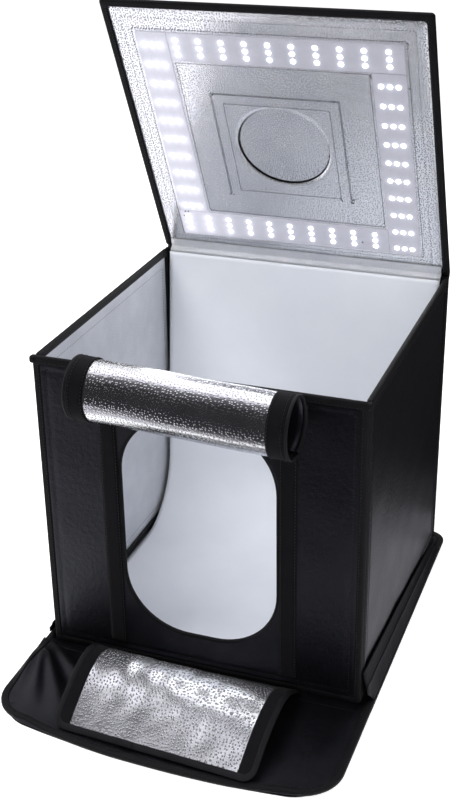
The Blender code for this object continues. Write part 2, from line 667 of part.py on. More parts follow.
def makeLights(lid):
    """Four LED boards in a pinwheel on the lining, under one clear film ring."""
    side = LED_BOARD_LENGTH + LED_BOARD_GAP + LED_BOARD_WIDTH
    near = -side / 2
    far = side / 2
    half = LED_BOARD_WIDTH / 2
    back = LINING_LOW - SEAT
    front = LED_CENTRE + far
    rear = LED_CENTRE + near
    boards = {
        "led_board_front": ((far - LED_BOARD_LENGTH, -(front - half)), 0),
        "led_board_rear": ((near, -(rear + half)), 0),
        "led_board_left": ((near + half, -(front - LED_BOARD_LENGTH)), -pi / 2),
        "led_board_right": ((far - half, -rear), -pi / 2),
    }
    for name, (place, turn) in boards.items():
        ledBoard(name, (*place, back), (0, 0, turn), lid)

    def ring(reach):
        low = -LED_CENTRE - reach
        high = -LED_CENTRE + reach
        return roundedRectangle(-reach, reach, low, high, FILM_CORNER, CORNER_STEPS)

    outer = ring(far + FILM_MARGIN)
    inner = ring(far - LED_BOARD_WIDTH - FILM_MARGIN)
    level = back - LED_BOARD - LED_HEIGHT - FILM_CLEARANCE - FILM / 2
    rows = [atLevel(outer, back), atLevel(outer, level), atLevel(inner, level), atLevel(inner, back)]
    sheet("led_film", rows, FILM, "clear_film", lid, True)


def makePortFlap(lid):
    """The flap over the round port: it hinges at its rear edge on the lid's outside."""
    half = PORT_FLAP_WIDTH / 2
    hookLow = COVER_TOP + SEAT
    loopLow = hookLow + PORT_STRIP + SEAT
    liningLow = loopLow + PORT_STRIP + SEAT
    coverLow = liningLow + LINING + SEAT
    hingeZ = coverLow + COVER + SEAT
    hemFront = PORT_FLAP_REAR - SEAT
    hem = rectangle(-half, half, -hemFront, PORT_HEM_LENGTH - hemFront)
    plate("port_cover_hem", [hem], hookLow, COVER, "outer_fabric", lid)

    outside = half - PORT_STRIP_INSET
    inside = outside - PORT_STRIP_WIDTH
    rear = -(PORT_FLAP_REAR + PORT_STRIP_INSET)
    front = -(PORT_FLAP_FRONT - PORT_STRIP_INSET)
    strip = [(-outside, front), (outside, front), (outside, rear), (inside, rear),
             (inside, front + PORT_STRIP_WIDTH), (-inside, front + PORT_STRIP_WIDTH),
             (-inside, rear), (-outside, rear)]
    plate("port_hook_strip", [strip], hookLow, PORT_STRIP, "hook_and_loop", lid)

    hinge = holder("port_cover_hinge", (0, -hemFront, hingeZ))
    hinge.parent = lid
    drop = -hingeZ
    shift = np.array((0, hemFront))
    flap = np.array(rectangle(-half, half, -PORT_FLAP_FRONT, -PORT_FLAP_REAR)) + shift
    plate("port_loop_strip", [np.array(strip) + shift], drop + loopLow, PORT_STRIP, "hook_and_loop", hinge)
    plate("port_cover_lining", [flap], drop + liningLow, LINING, "silver_film", hinge)
    plate("port_cover", [flap], drop + coverLow, COVER, "outer_fabric", hinge)


def turned(name, profile, finish, parent, place):
    """A turned piece: its profile, spun round local Z."""
    mesh = bpy.data.meshes.new(name)
    points = [(radius, 0, height) for radius, height in profile]
    mesh.from_pydata(points, [(i, i + 1) for i in range(len(points) - 1)], [])
    thing = addPart(name, mesh, finish, parent, place)
    spin = thing.modifiers.new("spin", "SCREW")
    spin.steps = INLET_STEPS
    spin.render_steps = INLET_STEPS
    spin.use_merge_vertices = True
    spin.merge_threshold = SAME_POINT


def makeInlet(lid):
    """The round power inlet set through the lid, with its centre pin."""
    place = (INLET_X, -INLET_DISTANCE, 0)
    flangeLow = COVER_TOP + SEAT
    top = flangeLow + INLET_FLANGE
    floor = LINING_LOW + INLET_FLOOR
    shell = [(0, floor), (INLET_BORE_RADIUS, floor), (INLET_BORE_RADIUS, top), (INLET_FLANGE_RADIUS, top),
             (INLET_FLANGE_RADIUS, flangeLow), (INLET_BARREL_RADIUS, flangeLow),
             (INLET_BARREL_RADIUS, LINING_LOW), (0, LINING_LOW)]
    turned("dc_inlet_shell", shell, "inlet_plastic", lid, place)
    pinTop = top - INLET_PIN_RECESS
    pin = [(0, pinTop), (INLET_PIN_RADIUS, pinTop), (INLET_PIN_RADIUS, floor + SEAT), (0, floor + SEAT)]
    turned("dc_inlet_pin", pin, "contact_metal", lid, place)


def makeLid():
    """The lid panel with its port, lights, port flap and power inlet, on the rear hinge."""
    lid = holder("lid", (0, HALF + SEAT, RIM_HEIGHT + SEAT), (-radians(LID_OPEN), 0, 0))

    def port(grow):
        return arc(0, -PORT_CENTRE, PORT_RADIUS + grow, 0, 360, PORT_STEPS)[:-1]

    barrel = arc(INLET_X, -INLET_DISTANCE, INLET_BARREL_RADIUS + SEAT, 0, 360, INLET_STEPS)[:-1]
    boundPanel("lid", -HALF, HALF, -CUBE - SEAT, -SEAT, lid, [port(BINDING + SEAT), barrel])
    edgeLiner("port_binding", port, lid)
    makeLights(lid)
    makePortFlap(lid)
    makeInlet(lid)


def main():
    clearScene()
    makeWalls()
    makeCase()
    makeBackdrop()
    makeUpperFlap()
    makeLowerFlap()
    makeLid()


main()
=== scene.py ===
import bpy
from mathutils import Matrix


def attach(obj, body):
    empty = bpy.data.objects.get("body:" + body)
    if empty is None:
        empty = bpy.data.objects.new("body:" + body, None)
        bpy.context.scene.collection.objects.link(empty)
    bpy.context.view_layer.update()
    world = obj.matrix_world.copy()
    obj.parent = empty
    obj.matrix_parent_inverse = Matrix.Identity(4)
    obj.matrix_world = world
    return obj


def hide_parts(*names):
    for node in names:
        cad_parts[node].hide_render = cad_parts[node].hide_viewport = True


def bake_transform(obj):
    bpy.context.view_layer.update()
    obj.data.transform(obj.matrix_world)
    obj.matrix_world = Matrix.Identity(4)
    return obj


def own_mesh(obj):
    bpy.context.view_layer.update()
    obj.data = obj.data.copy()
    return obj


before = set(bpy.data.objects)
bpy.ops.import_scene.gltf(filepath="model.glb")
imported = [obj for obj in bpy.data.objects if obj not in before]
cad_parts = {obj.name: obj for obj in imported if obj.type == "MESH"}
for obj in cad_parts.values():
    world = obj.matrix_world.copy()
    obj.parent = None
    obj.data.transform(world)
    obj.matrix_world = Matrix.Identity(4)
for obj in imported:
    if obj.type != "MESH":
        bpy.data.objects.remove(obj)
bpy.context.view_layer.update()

from math import atan, cos, hypot, pi, radians, sin, sqrt

import bmesh
import bpy
import numpy as np
from mathutils import Matrix, Vector

# A folding light tent, 40 cm class, standing in its opened case. Metres throughout.

# the camera, as in the photograph: degrees, and millimetres for the lens
camera = dict(place=(0.5085, -1.4356, 1.0162), yaw=-20.83, pitch=-25.70, roll=-1.04, lens=60.28)


def putInScene(name, data):
    thing = bpy.data.objects.new(name, data)
    bpy.context.scene.collection.objects.link(thing)
    return thing


def makeCamera(view):
    # forward = (sin yaw cos pitch, cos yaw cos pitch, sin pitch); right and up turned about it by roll
    yaw, pitch, roll = (radians(view[key]) for key in ("yaw", "pitch", "roll"))
    forward = Vector((sin(yaw) * cos(pitch), cos(yaw) * cos(pitch), sin(pitch)))
    right = Vector((cos(yaw), -sin(yaw), 0))
    up = right.cross(forward)
    turnedRight = right * cos(roll) + up * sin(roll)
    turnedUp = up * cos(roll) - right * sin(roll)
    data = bpy.data.cameras.new("camera")
    data.lens = view["lens"]
    thing = putInScene("camera", data)
    axes = Matrix((turnedRight, turnedUp, -forward)).transposed().to_4x4()
    thing.matrix_world = Matrix.Translation(view["place"]) @ axes
    bpy.context.scene.camera = thing


makeCamera(camera)
print("camera placed")


# what the materials are made with
def toLinear(colour):
    # sRGB channel c becomes c / 12.92 when small, else ((c + 0.055) / 1.055) ^ 2.4
    channels = np.array([int(colour[i:i + 2], 16) for i in (1, 3, 5)]) / 255
    linear = np.where(channels <= 0.04045, channels / 12.92, ((channels + 0.055) / 1.055) ** 2.4)
    return (*linear.tolist(), 1.0)


def feed(node, wires):
    # each named input gets a number, a colour or another node's output
    for key, value in wires.items():
        if isinstance(value, bpy.types.NodeSocket):
            node.id_data.links.new(value, node.inputs[key])
        else:
            node.inputs[key].default_value = value


def addNode(tree, kind, wires, **settings):
    # one node with its own settings and what goes into it
    node = tree.nodes.new("ShaderNode" + kind)
    for key, value in settings.items():
        setattr(node, key, value)
    feed(node, wires)
    return node


def newMaterial(name, **look):
    # the main shader with its plain values; colours are written as sRGB hex
    material = bpy.data.materials.new(name)
    material.use_nodes = True
    tree = material.node_tree
    shader = tree.nodes["Principled BSDF"]
    feed(shader, {socket.replace("_", " "): toLinear(value) if isinstance(value, str) else value
                  for socket, value in look.items()})
    return material, tree, shader, addNode(tree, "TexCoord", {})


def mottled(tree, place, dark, light, size, roughness):
    # a slow noise of that size mixes two close colours and moves the roughness between two values
    noise = addNode(tree, "TexNoise", {"Vector": place, "Scale": 1 / size, "Detail": 4.0})
    ramp = addNode(tree, "MapRange", {"Value": noise.outputs["Fac"], "From Min": 0.3, "From Max": 0.7})
    mix = addNode(tree, "Mix", {}, data_type="RGBA")
    feed(mix, {"Factor": ramp.outputs["Result"], 6: toLinear(dark), 7: toLinear(light)})
    rough = addNode(tree, "MapRange", {"Value": noise.outputs["Fac"], "To Min": roughness[0],
                                       "To Max": roughness[1]})
    return {"Base Color": mix.outputs[2], "Roughness": rough.outputs["Result"]}


def wireUp(shader, wires, *heights):
    # the patterns go into the shader, and so do the heights, stacked, each with its depth in metres
    normal = {}
    for height, depth in heights:
        bump = addNode(shader.id_data, "Bump",
                       {"Height": height, "Distance": depth, "Strength": 1.0, **normal})
        normal = {"Normal": bump.outputs["Normal"]}
    feed(shader, {**wires, **normal})


waveRate = 0.314  # a wave texture of scale s repeats every 0.314 / s


def makeCoatedOxford():
    # polyurethane-coated oxford, calendered to a fine leather grain: near black, a soft satin sheen
    material, tree, shader, coords = newMaterial("coated_oxford_calendered", Specular_IOR_Level=0.40,
                                                 Specular_Tint="#DDE0F2")
    place = coords.outputs["Object"]
    # the real grain is about 0.9 mm; drawn at 1.5 mm, because a finer one doesn't show
    grain = addNode(tree, "TexVoronoi", {"Vector": place, "Scale": 1 / 0.0015}, feature="SMOOTH_F1")
    fine = addNode(tree, "TexNoise", {"Vector": place, "Scale": 1 / 0.006, "Detail": 3.0})
    wireUp(shader, mottled(tree, place, "#08080B", "#0D0D11", 0.05, (0.34, 0.48)),
           (grain.outputs["Distance"], 0.00016), (fine.outputs["Fac"], 0.0005))
    return material


def makeCaseNylon(name, roughness, gloss):
    # nylon case fabric, plain woven and lightly coated: dull black with a small sheen at an angle
    material, tree, shader, coords = newMaterial(name, Specular_IOR_Level=gloss, Specular_Tint="#DDE0F2")
    place = coords.outputs["Object"]
    # threads are 0.4 mm apart; drawn 1.2 mm apart so that the weave shows
    warp, weft = (addNode(tree, "TexWave", {"Vector": place, "Scale": waveRate / 0.0012}, bands_direction=way)
                  for way in "XY")
    weave = addNode(tree, "Math", {0: warp.outputs["Fac"], 1: weft.outputs["Fac"]}, operation="MAXIMUM")
    slow = addNode(tree, "TexNoise", {"Vector": place, "Scale": 1 / 0.018, "Detail": 3.0})
    wireUp(shader, mottled(tree, place, "#060608", "#0B0B0E", 0.04, roughness),
           (weave.outputs[0], 0.00010), (slow.outputs["Fac"], 0.0008))
    return material


def makeGrosgrain(name, dark, light):
    # polyester binding tape, woven with cross ribs: dull and ribbed, two close blacks in patches
    material, tree, shader, coords = newMaterial(name, Specular_IOR_Level=0.28)
    # ribs are 0.8 mm apart; drawn 1.6 mm apart so that they show
    ribs = addNode(tree, "TexWave", {"Vector": coords.outputs["UV"], "Scale": waveRate / 0.0016},
                   bands_direction="X")
    wireUp(shader, mottled(tree, coords.outputs["Object"], dark, light, 0.02, (0.62, 0.80)),
           (ribs.outputs["Fac"], 0.00018))
    return material


def makeSilverFilm(name, dark, light, roughness, pebble, depth, metallic, paintedPitShade):
    # aluminised polyester film, pressed over a cloth with a pebble roller: bright grey, broken sparkle
    material, tree, shader, coords = newMaterial(name, Metallic=metallic)
    place = coords.outputs["Object"]
    # isolated pebbles about 4 mm apart, as on the real film, laid out flat on the piece's own map
    bumps = addNode(tree, "TexVoronoi", {"Vector": coords.outputs["UV"], "Scale": 1 / pebble,
                                         "Randomness": 0.75}, voronoi_dimensions="2D")
    dome = addNode(tree, "MapRange", {"Value": bumps.outputs["Distance"], "From Min": 0.34, "From Max": 0.0},
                   interpolation_type="SMOOTHSTEP")
    # painted shade: each pressed spot gets a darker grey mixed into its colour, standing in for the shading
    # of the embossing
    wires = mottled(tree, place, dark, light, 0.03, roughness)
    shade = addNode(tree, "MapRange", {"Value": dome.outputs["Result"], "To Max": paintedPitShade})
    paintedSpotShade = addNode(tree, "Mix", {}, data_type="RGBA")
    feed(paintedSpotShade, {"Factor": shade.outputs["Result"], 6: wires["Base Color"], 7: toLinear("#85878D")})
    slow = addNode(tree, "TexNoise", {"Vector": place, "Scale": 1 / 0.02, "Detail": 2.0})
    wireUp(shader, {**wires, "Base Color": paintedSpotShade.outputs[2]},
           (dome.outputs["Result"], depth), (slow.outputs["Fac"], 0.0003))
    return material


def makeClearFilm():
    # clear vinyl film, cast smooth: half see-through, with the lights' glow caught in it
    material, tree, shader, coords = newMaterial("clear_vinyl_cast", Base_Color="#C4C4CE", Roughness=0.2,
                                                 Alpha=0.28, Emission_Color="#F6F4FF")
    glow = addNode(tree, "Attribute", {}, attribute_name="glow")
    ripple = addNode(tree, "TexNoise",
                     {"Vector": coords.outputs["Object"], "Scale": 1 / 0.008, "Detail": 3.0})
    wireUp(shader, {"Emission Strength": glow.outputs["Fac"]}, (ripple.outputs["Fac"], 0.0014))
    return material


def makeLens():
    # lit light-emitting chips under their silicone caps: plain white, brighter than anything near
    material, tree, shader, coords = newMaterial("silicone_cap_lit", Base_Color="#FFFFFF", Roughness=0.3,
                                                 Emission_Color="#FFFFFF", Emission_Strength=10.0)
    soft = addNode(tree, "TexNoise", {"Vector": coords.outputs["Object"], "Scale": 1 / 0.004})
    wireUp(shader, {}, (soft.outputs["Fac"], 0.0001))
    return material


def makePlain(name, dark, light, size, roughness, grain, detail, depth, **look):
    # a solid with two close colours in patches of that size, and a grain of its own size and depth
    material, tree, shader, coords = newMaterial(name, **look)
    place = coords.outputs["Object"]
    texture = addNode(tree, "TexNoise", {"Vector": place, "Scale": 1 / grain, "Detail": detail})
    wireUp(shader, mottled(tree, place, dark, light, size, roughness), (texture.outputs["Fac"], depth))
    return material


oxford = makeCoatedOxford()
nylon = makeCaseNylon("case_nylon_woven", (0.34, 0.46), 0.34)
mattNylon = makeCaseNylon("case_nylon_brushed", (0.60, 0.75), 0.22)
grosgrain = makeGrosgrain("grosgrain_woven_black", "#08080A", "#0E0E11")
# a lighter copy of the same tape for the piped rims and the welt: painted highlight along those rounded edges
piping = makeGrosgrain("grosgrain_woven_painted_highlight", "#0E0E11", "#16161A")
# nylon loop tape, brushed to a pile: the deepest black, fuzzy, no highlights
loopTape = makePlain("loop_tape_brushed", "#060609", "#0B0B0F", 0.012, (0.85, 0.98), 0.0011, 5.0, 0.0007,
                     Specular_IOR_Level=0.2, Sheen_Weight=0.02, Sheen_Roughness=0.6)
# the same film in five copies whose greys and metallic are set apart for where each piece sits, lighter on
# the lid and the hinge, darker on the walls: painted light and shade
film = makeSilverFilm("aluminised_film_embossed", "#F3F5FA", "#FBFCFE", roughness=(0.18, 0.25),
                      pebble=0.0031, depth=0.00055, metallic=0.85, paintedPitShade=0.10)
rolledFilm = makeSilverFilm("aluminised_film_pressed", "#DADBDF", "#E6E7EA", roughness=(0.18, 0.25),
                            pebble=0.0036, depth=0.00027, metallic=1.0, paintedPitShade=0.30)
foldedFilm = makeSilverFilm("aluminised_film_creased", "#E0E1E5", "#ECEDF0", roughness=(0.22, 0.30),
                            pebble=0.0042, depth=0.00070, metallic=0.95, paintedPitShade=0.62)
wallFilm = makeSilverFilm("aluminised_film_satin", "#C4C6CC", "#D0D2D7", roughness=(0.42, 0.52),
                          pebble=0.0040, depth=0.00020, metallic=0.55, paintedPitShade=0.15)
hingeFilm = makeSilverFilm("aluminised_film_soft", "#F0F3FA", "#FAFBFF", roughness=(0.35, 0.45),
                           pebble=0.0040, depth=0.00040, metallic=0.60, paintedPitShade=0.10)
clearFilm = makeClearFilm()
lens = makeLens()
# glass-fibre board under white solder mask, screen printed: smooth, faintly blue, half matt, with a faint
# painted glow standing in for the lights' spill on it
solderMask = makePlain("solder_mask_painted_glow", "#A6A7B3", "#B4B5C0", 0.015, (0.38, 0.5), 0.003, 2.0, 0.0001,
                       Specular_IOR_Level=0.4, Emission_Color="#F0F0FA", Emission_Strength=0.12)
# polypropylene backdrop sheet, extruded matt: even bluish white, no shine, faint cloudiness
sheetWhite = makePlain("polypropylene_sheet_matt", "#DDE0E8", "#E3E6EC", 0.08, (0.55, 0.68), 0.0012, 2.0,
                       0.00003, Specular_IOR_Level=0.25)
# pressed fibreboard: dull brown with hairy edges
fibreboard = makePlain("fibreboard_pressed", "#6E5A45", "#8A7359", 0.01, (0.8, 0.95), 0.0025, 4.0, 0.0002)
# moulded polyamide: near black, half gloss
inletPlastic = makePlain("polyamide_moulded", "#0B0B0C", "#121214", 0.01, (0.3, 0.4), 0.0025, 4.0, 0.00003)
# nickel plating on the inlet's pin: bright, a little warm
contact = makePlain("nickel_plated", "#CFCBC0", "#DAD6CC", 0.004, (0.2, 0.3), 0.001, 4.0, 0.00002,
                    Metallic=1.0)
# twisted polyester thread, black and grey: a slight lustre
blackThread = makePlain("polyester_thread_black", "#0B0B0E", "#131317", 0.003, (0.45, 0.6), 0.00075,
                        4.0, 0.00005)
greyThread = makePlain("polyester_thread_grey", "#2C2D31", "#404147", 0.003, (0.45, 0.6), 0.00075,
                       4.0, 0.00005)
# tinned solder: dull grey blobs
solder = makePlain("solder_tinned", "#6B6C72", "#87888E", 0.002, (0.35, 0.5), 0.0005, 4.0, 0.00005,
                   Metallic=0.8)
print("materials made")


# what the surfaces are made with
def smoothStep(value):
    # 0 below 0, 1 above 1, and 3v^2 - 2v^3 between
    value = np.clip(value, 0, 1)
    return value * value * (3 - 2 * value)


def ripples(across, along, seed, size, amount):
    # height = amount x the mean of seven sine waves near that size, each with its own direction and phase
    chance = np.random.default_rng(seed)
    angle, phase = chance.uniform(0, pi, 7), chance.uniform(0, 2 * pi, 7)
    wave = 2 * pi / (size * chance.uniform(0.6, 1.5, 7))
    across, along = (np.asarray(v, float)[..., None] for v in (across, along))
    return amount * np.sin(wave * (across * np.cos(angle) + along * np.sin(angle)) + phase).mean(-1)


def circle(steps):
    return np.linspace(0, 2 * pi, steps + 1)[:-1]


def runAlong(line):
    # the length walked to each point of a line
    return np.concatenate([[0], np.linalg.norm(np.diff(line, axis=0), axis=1).cumsum()])


def readAt(line, run, places):
    # the line's points at those places along its run
    return np.column_stack([np.interp(places, run, line[:, i]) for i in range(line.shape[1])])


def evenPoints(line, steps):
    run = runAlong(line)
    return readAt(line, run, np.linspace(0, run[-1], steps))


def meshPiece(name, points, faces, material):
    mesh = bpy.data.meshes.new(name)
    mesh.from_pydata(np.asarray(points).tolist(), [], faces)
    mesh.shade_smooth()
    mesh.materials.append(material)
    return putInScene(name, mesh)


def gridPiece(name, grid, material, inward=False, ring=False, tube=False, fields=None, flat=None):
    # quads between neighbours of a rows x columns x 3 grid; ring joins the last column to the first, tube
    # the last row to the first; the UV map holds the lengths along both ways in metres, or flat where given
    grid = np.asarray(grid, float)
    rows, columns = grid.shape[:2]
    order = np.arange(rows * columns).reshape(rows, columns)
    if ring:
        order, grid = np.column_stack([order, order[:, :1]]), np.concatenate([grid, grid[:, :1]], 1)
    if tube:
        order, grid = np.vstack([order, order[:1]]), np.concatenate([grid, grid[:1]], 0)
    early, late = slice(None, -1), slice(1, None)
    corners = ((early, early), (early, late), (late, late), (late, early))
    turn = corners[::-1] if inward else corners
    faces = np.stack([order[c] for c in turn], -1).reshape(-1, 4)
    thing = meshPiece(name, grid[:rows, :columns].reshape(-1, 3), faces.tolist(), material)
    runs = [np.concatenate([[0], np.linalg.norm(np.diff(grid, axis=way), axis=-1).mean(1 - way).cumsum()])
            for way in (1, 0)]
    runs = np.stack(np.meshgrid(*runs), -1)
    if flat is not None:
        runs = np.stack(flat, -1)
        runs = np.concatenate([runs, runs[:, :1]], 1) if ring else runs
    uv = np.stack([runs[c] for c in turn], 2).reshape(-1, 2)
    thing.data.uv_layers.new(name="UVMap").data.foreach_set("uv", uv.astype(np.float32).ravel())
    for key, values in (fields or {}).items():
        layer = thing.data.attributes.new(key, "FLOAT", "POINT")
        layer.data.foreach_set("value", np.asarray(values, np.float32).ravel())
    return thing


def reshape(thing, change):
    # the mesh is opened, changed and put back
    work = bmesh.new()
    work.from_mesh(thing.data)
    change(work)
    work.to_mesh(thing.data)
    work.free()
    return thing


def turnOutward(thing):
    # closed pieces: every face is turned to point away from the inside
    return reshape(thing, lambda work: bmesh.ops.recalc_face_normals(work, faces=work.faces))


def closeMiddle(work):
    # the innermost ring of a ring-shaped grid is drawn together into one point
    ends = [edge.verts for edge in work.edges if edge.is_boundary]
    inner = min(ends, key=lambda pair: (pair[0].co - pair[1].co).length)
    reach = 40 * (inner[0].co - inner[1].co).length
    near = [v for v in work.verts if (v.co - inner[0].co).length < reach and v.is_boundary]
    bmesh.ops.pointmerge(work, verts=near, merge_co=sum((v.co for v in near), Vector()) / len(near))


def faceToward(thing, way, share=0.0):
    # the piece is turned over where the face at that share of its list looks away from way
    faces = thing.data.polygons
    if faces[int(len(faces) * share)].normal.dot(Vector(way)) < 0:
        thing.data.flip_normals()
    return thing


def thicken(thing, thick, offset=-1.0):
    # a sheet gets its thickness: to its back with offset -1, to its front with 1, to both with 0
    shell = thing.modifiers.new("thickness", "SOLIDIFY")
    shell.thickness = thick
    shell.offset = offset
    shell.use_even_offset = True
    return thing


def settle(thing, body, slot, *nodes):
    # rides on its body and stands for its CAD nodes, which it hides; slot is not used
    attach(thing, body)
    if nodes:
        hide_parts(*nodes)
    return thing


def roundedRectangle(left, right, low, high, radius, cornerSteps=6, sideSteps=24):
    # anticlockwise from the right side's top: four quarter circles joined by straight runs
    centres = ((right - radius, high - radius), (left + radius, high - radius),
               (left + radius, low + radius), (right - radius, low + radius))
    arcs = []
    for quarter, (x, y) in enumerate(centres):
        angles = np.radians(np.linspace(90 * quarter, 90 * quarter + 90, cornerSteps + 1))
        arcs.append(np.column_stack([x + radius * np.cos(angles), y + radius * np.sin(angles)]))
    share = np.linspace(0, 1, sideSteps + 1)[1:-1, None]
    parts = []
    for arc, following in zip(arcs, arcs[1:] + arcs[:1]):
        parts += [arc, arc[-1] + (following[0] - arc[-1]) * share]
    return np.vstack(parts)


def threeSides(half, start, reach, radius, sign, steps):
    # up the side at sign x half from start, round a quarter circle, straight across at reach, and back down
    sideSteps, cornerSteps, acrossSteps = steps
    side = np.linspace(start, reach - radius, sideSteps)[:-1]
    angles = np.linspace(0, pi / 2, cornerSteps)
    corner = np.column_stack([sign * (half - radius + radius * np.cos(angles)),
                              reach - radius + radius * np.sin(angles)])
    first = np.vstack([np.column_stack([np.full(len(side), sign * half), side]), corner])
    across = sign * np.linspace(half - radius, radius - half, acrossSteps)[1:-1]
    return np.vstack([first, np.column_stack([across, np.full(len(across), reach)]), first[::-1] * (-1, 1)])


def roundCorners(across, along, half, reach, radius):
    # in the two far corner squares (p, q) becomes (p sqrt(1 - q^2/2), q sqrt(1 - p^2/2)), a quarter disc
    p = np.clip((np.abs(across) - (half - radius)) / radius, 0, 1)
    q = np.clip((along - (reach - radius)) / radius, 0, 1)
    both = (p > 0) & (q > 0)
    newAcross = np.sign(across) * (half - radius + radius * p * np.sqrt(1 - q * q / 2))
    newAlong = reach - radius + radius * q * np.sqrt(1 - p * p / 2)
    return np.where(both, newAcross, across), np.where(both, newAlong, along)


tapeLook = dict(swell=0.0001, swellAt=0.6, shoulder=0.0005, turnedIn=0.0010, nose=0.75)


def tapeSection(width, low, high):
    # (inset, level) round a folded tape: in along its lower leg, round the edge, back along its upper leg
    look, middle, half = tapeLook, (low + high) / 2, (high - low) / 2
    leg = np.array([(width, look["turnedIn"]), (width - look["shoulder"], look["swell"]),
                    (width * look["swellAt"], -look["swell"])])
    angles = np.linspace(-pi / 2, -3 * pi / 2, 9)
    nose = np.column_stack([half * look["nose"] * (1 + np.cos(angles)), middle + half * np.sin(angles)])
    return np.vstack([leg + (0, low), nose, leg[::-1] * (1, -1) + (0, high)])


def placeOn(panel, across, along, level):
    # point = origin + across x side + along x up + level x out
    across, along, level = (np.asarray(v, float)[..., None] for v in (across, along, level))
    return panel["origin"] + across * panel["side"] + along * panel["up"] + level * panel["out"]


def edgeTape(name, panel, outline, section, material, closed=True):
    # the section's (inset, level) pairs carried round outline(inset)
    rows = [placeOn(panel, *outline(inset).T, level) for inset, level in section]
    return turnOutward(gridPiece(name, rows, material, ring=closed, tube=True))


def ringSurface(outer, hole, middle, rings, count):
    # both outlines read at the same angles about the middle, and blended: point = hole + share (outer - hole)
    angles = np.linspace(-pi, pi, count + 1)[:-1]

    def atAngles(outline):
        dense = np.asarray(outline) - middle
        turn = np.arctan2(dense[:, 1], dense[:, 0])
        order = np.argsort(turn)
        turn, dense = turn[order], dense[order]
        turn = np.concatenate([turn[-1:] - 2 * pi, turn, turn[:1] + 2 * pi])
        return readAt(np.concatenate([dense[-1:], dense, dense[:1]]), turn, angles) + middle

    start, end = atAngles(hole), atAngles(outer)
    return start + (end - start) * np.linspace(0, 1, rings + 1)[:, None, None]


def beads(name, lines, material, pitch=0.0042, length=0.0030, radius=0.00038):
    # stitches: every pitch along each line of points lies a spindle of five sides and three rings
    rings = [(place, wide * cos(a), wide * sin(a)) for place, wide in ((-0.3, 0.8), (0, 1), (0.3, 0.8))
             for a in circle(5)]
    shape = np.array([(-0.5, 0, 0)] + rings + [(0.5, 0, 0)])
    sides = [(i, (i + 1) % 5) for i in range(5)]
    template = [(0, 1 + j, 1 + i) for i, j in sides]
    for ring in (1, 6):
        template += [(ring + i, ring + j, ring + 5 + j) for i, j in sides]
        template += [(ring + i, ring + 5 + j, ring + 5 + i) for i, j in sides]
    template += [(11 + i, 11 + j, 16) for i, j in sides]
    allPoints = []
    for line, facing in lines:
        line = np.asarray(line, float)
        run = runAlong(line)
        number = max(1, int(run[-1] / pitch))
        places = (np.arange(number) + 0.5) * run[-1] / number
        centre = readAt(line, run, places)
        lengthways = readAt(line, run, places + pitch / 4) - readAt(line, run, places - pitch / 4)
        lengthways /= np.linalg.norm(lengthways, axis=1)[:, None]
        sideways = np.cross(np.broadcast_to(facing, centre.shape), lengthways)
        sideways /= np.linalg.norm(sideways, axis=1)[:, None]
        upward = np.cross(lengthways, sideways)
        allPoints.append(centre[:, None] + shape[None, :, :1] * length * lengthways[:, None]
                         + shape[None, :, 1:2] * radius * 1.3 * sideways[:, None]
                         + shape[None, :, 2:] * radius * upward[:, None])
    allPoints = np.concatenate(allPoints)
    faces = np.array(template)[None] + len(shape) * np.arange(len(allPoints))[:, None, None]
    return turnOutward(meshPiece(name, allPoints.reshape(-1, 3), faces.reshape(-1, 3).tolist(), material))


def rectangleLines(left, right, low, high, count, place, facing):
    # the four straight runs of a stitched rectangle; place(across, along) puts them on their piece
    corners = [(left, low), (right, low), (right, high), (left, high), (left, low)]
    share = np.linspace(0, 1, count)
    return [(place(a + (c - a) * share, b + (d - b) * share), facing)
            for (a, b), (c, d) in zip(corners[:-1], corners[1:])]


# the six bound panels
lidTurn = radians(64.16)
panels = {
    "front": dict(origin=(0, -0.1934, 0), side=(1, 0, 0), up=(0, 0, 1), out=(0, -1, 0), half=0.200),
    "rear": dict(origin=(0, 0.1934, 0), side=(-1, 0, 0), up=(0, 0, 1), out=(0, 1, 0), half=0.200),
    "left": dict(origin=(-0.1934, 0, 0), side=(0, -1, 0), up=(0, 0, 1), out=(-1, 0, 0), half=0.1931),
    "right": dict(origin=(0.1934, 0, 0), side=(0, 1, 0), up=(0, 0, 1), out=(1, 0, 0), half=0.1931),
    "lid": dict(origin=(0, 0.2003, 0.4003), side=(-1, 0, 0), up=(0, -cos(lidTurn), sin(lidTurn)),
                out=(0, sin(lidTurn), cos(lidTurn)), half=0.200),
}
for panel in panels.values():
    panel.update({key: np.array(panel[key], float) for key in ("origin", "side", "up", "out")},
                 low=0.0051, high=0.400)
panels["lid"].update(low=0.0003, high=0.4003)
panelLook = dict(
    tapeWidth=0.0092, tapeHigh=0.0066, tapeSeam=0.0072, corner=0.004, skinInset=0.0012, skinThick=0.0006,
    seam=0.0158,  # stitched line round the board, in from the panel's edge
    boardRise=0.0006, boardFade=0.005, groove=0.0006, grooveWidth=0.0010, outerLevel=0.0054,
    innerLevel=0.0013, innerShare=0.3, marginFall=0.0016, marginFrom=0.006, puff=0.0011, puffFrom=0.0085,
    step=0.0048, edgeZone=0.022, rippleSize=0.11, ripple=0.0007,
    liningSeam=0.0225, liningLevel=0.0009, liningStitch=0.0024, liningThread=0.00028,
)


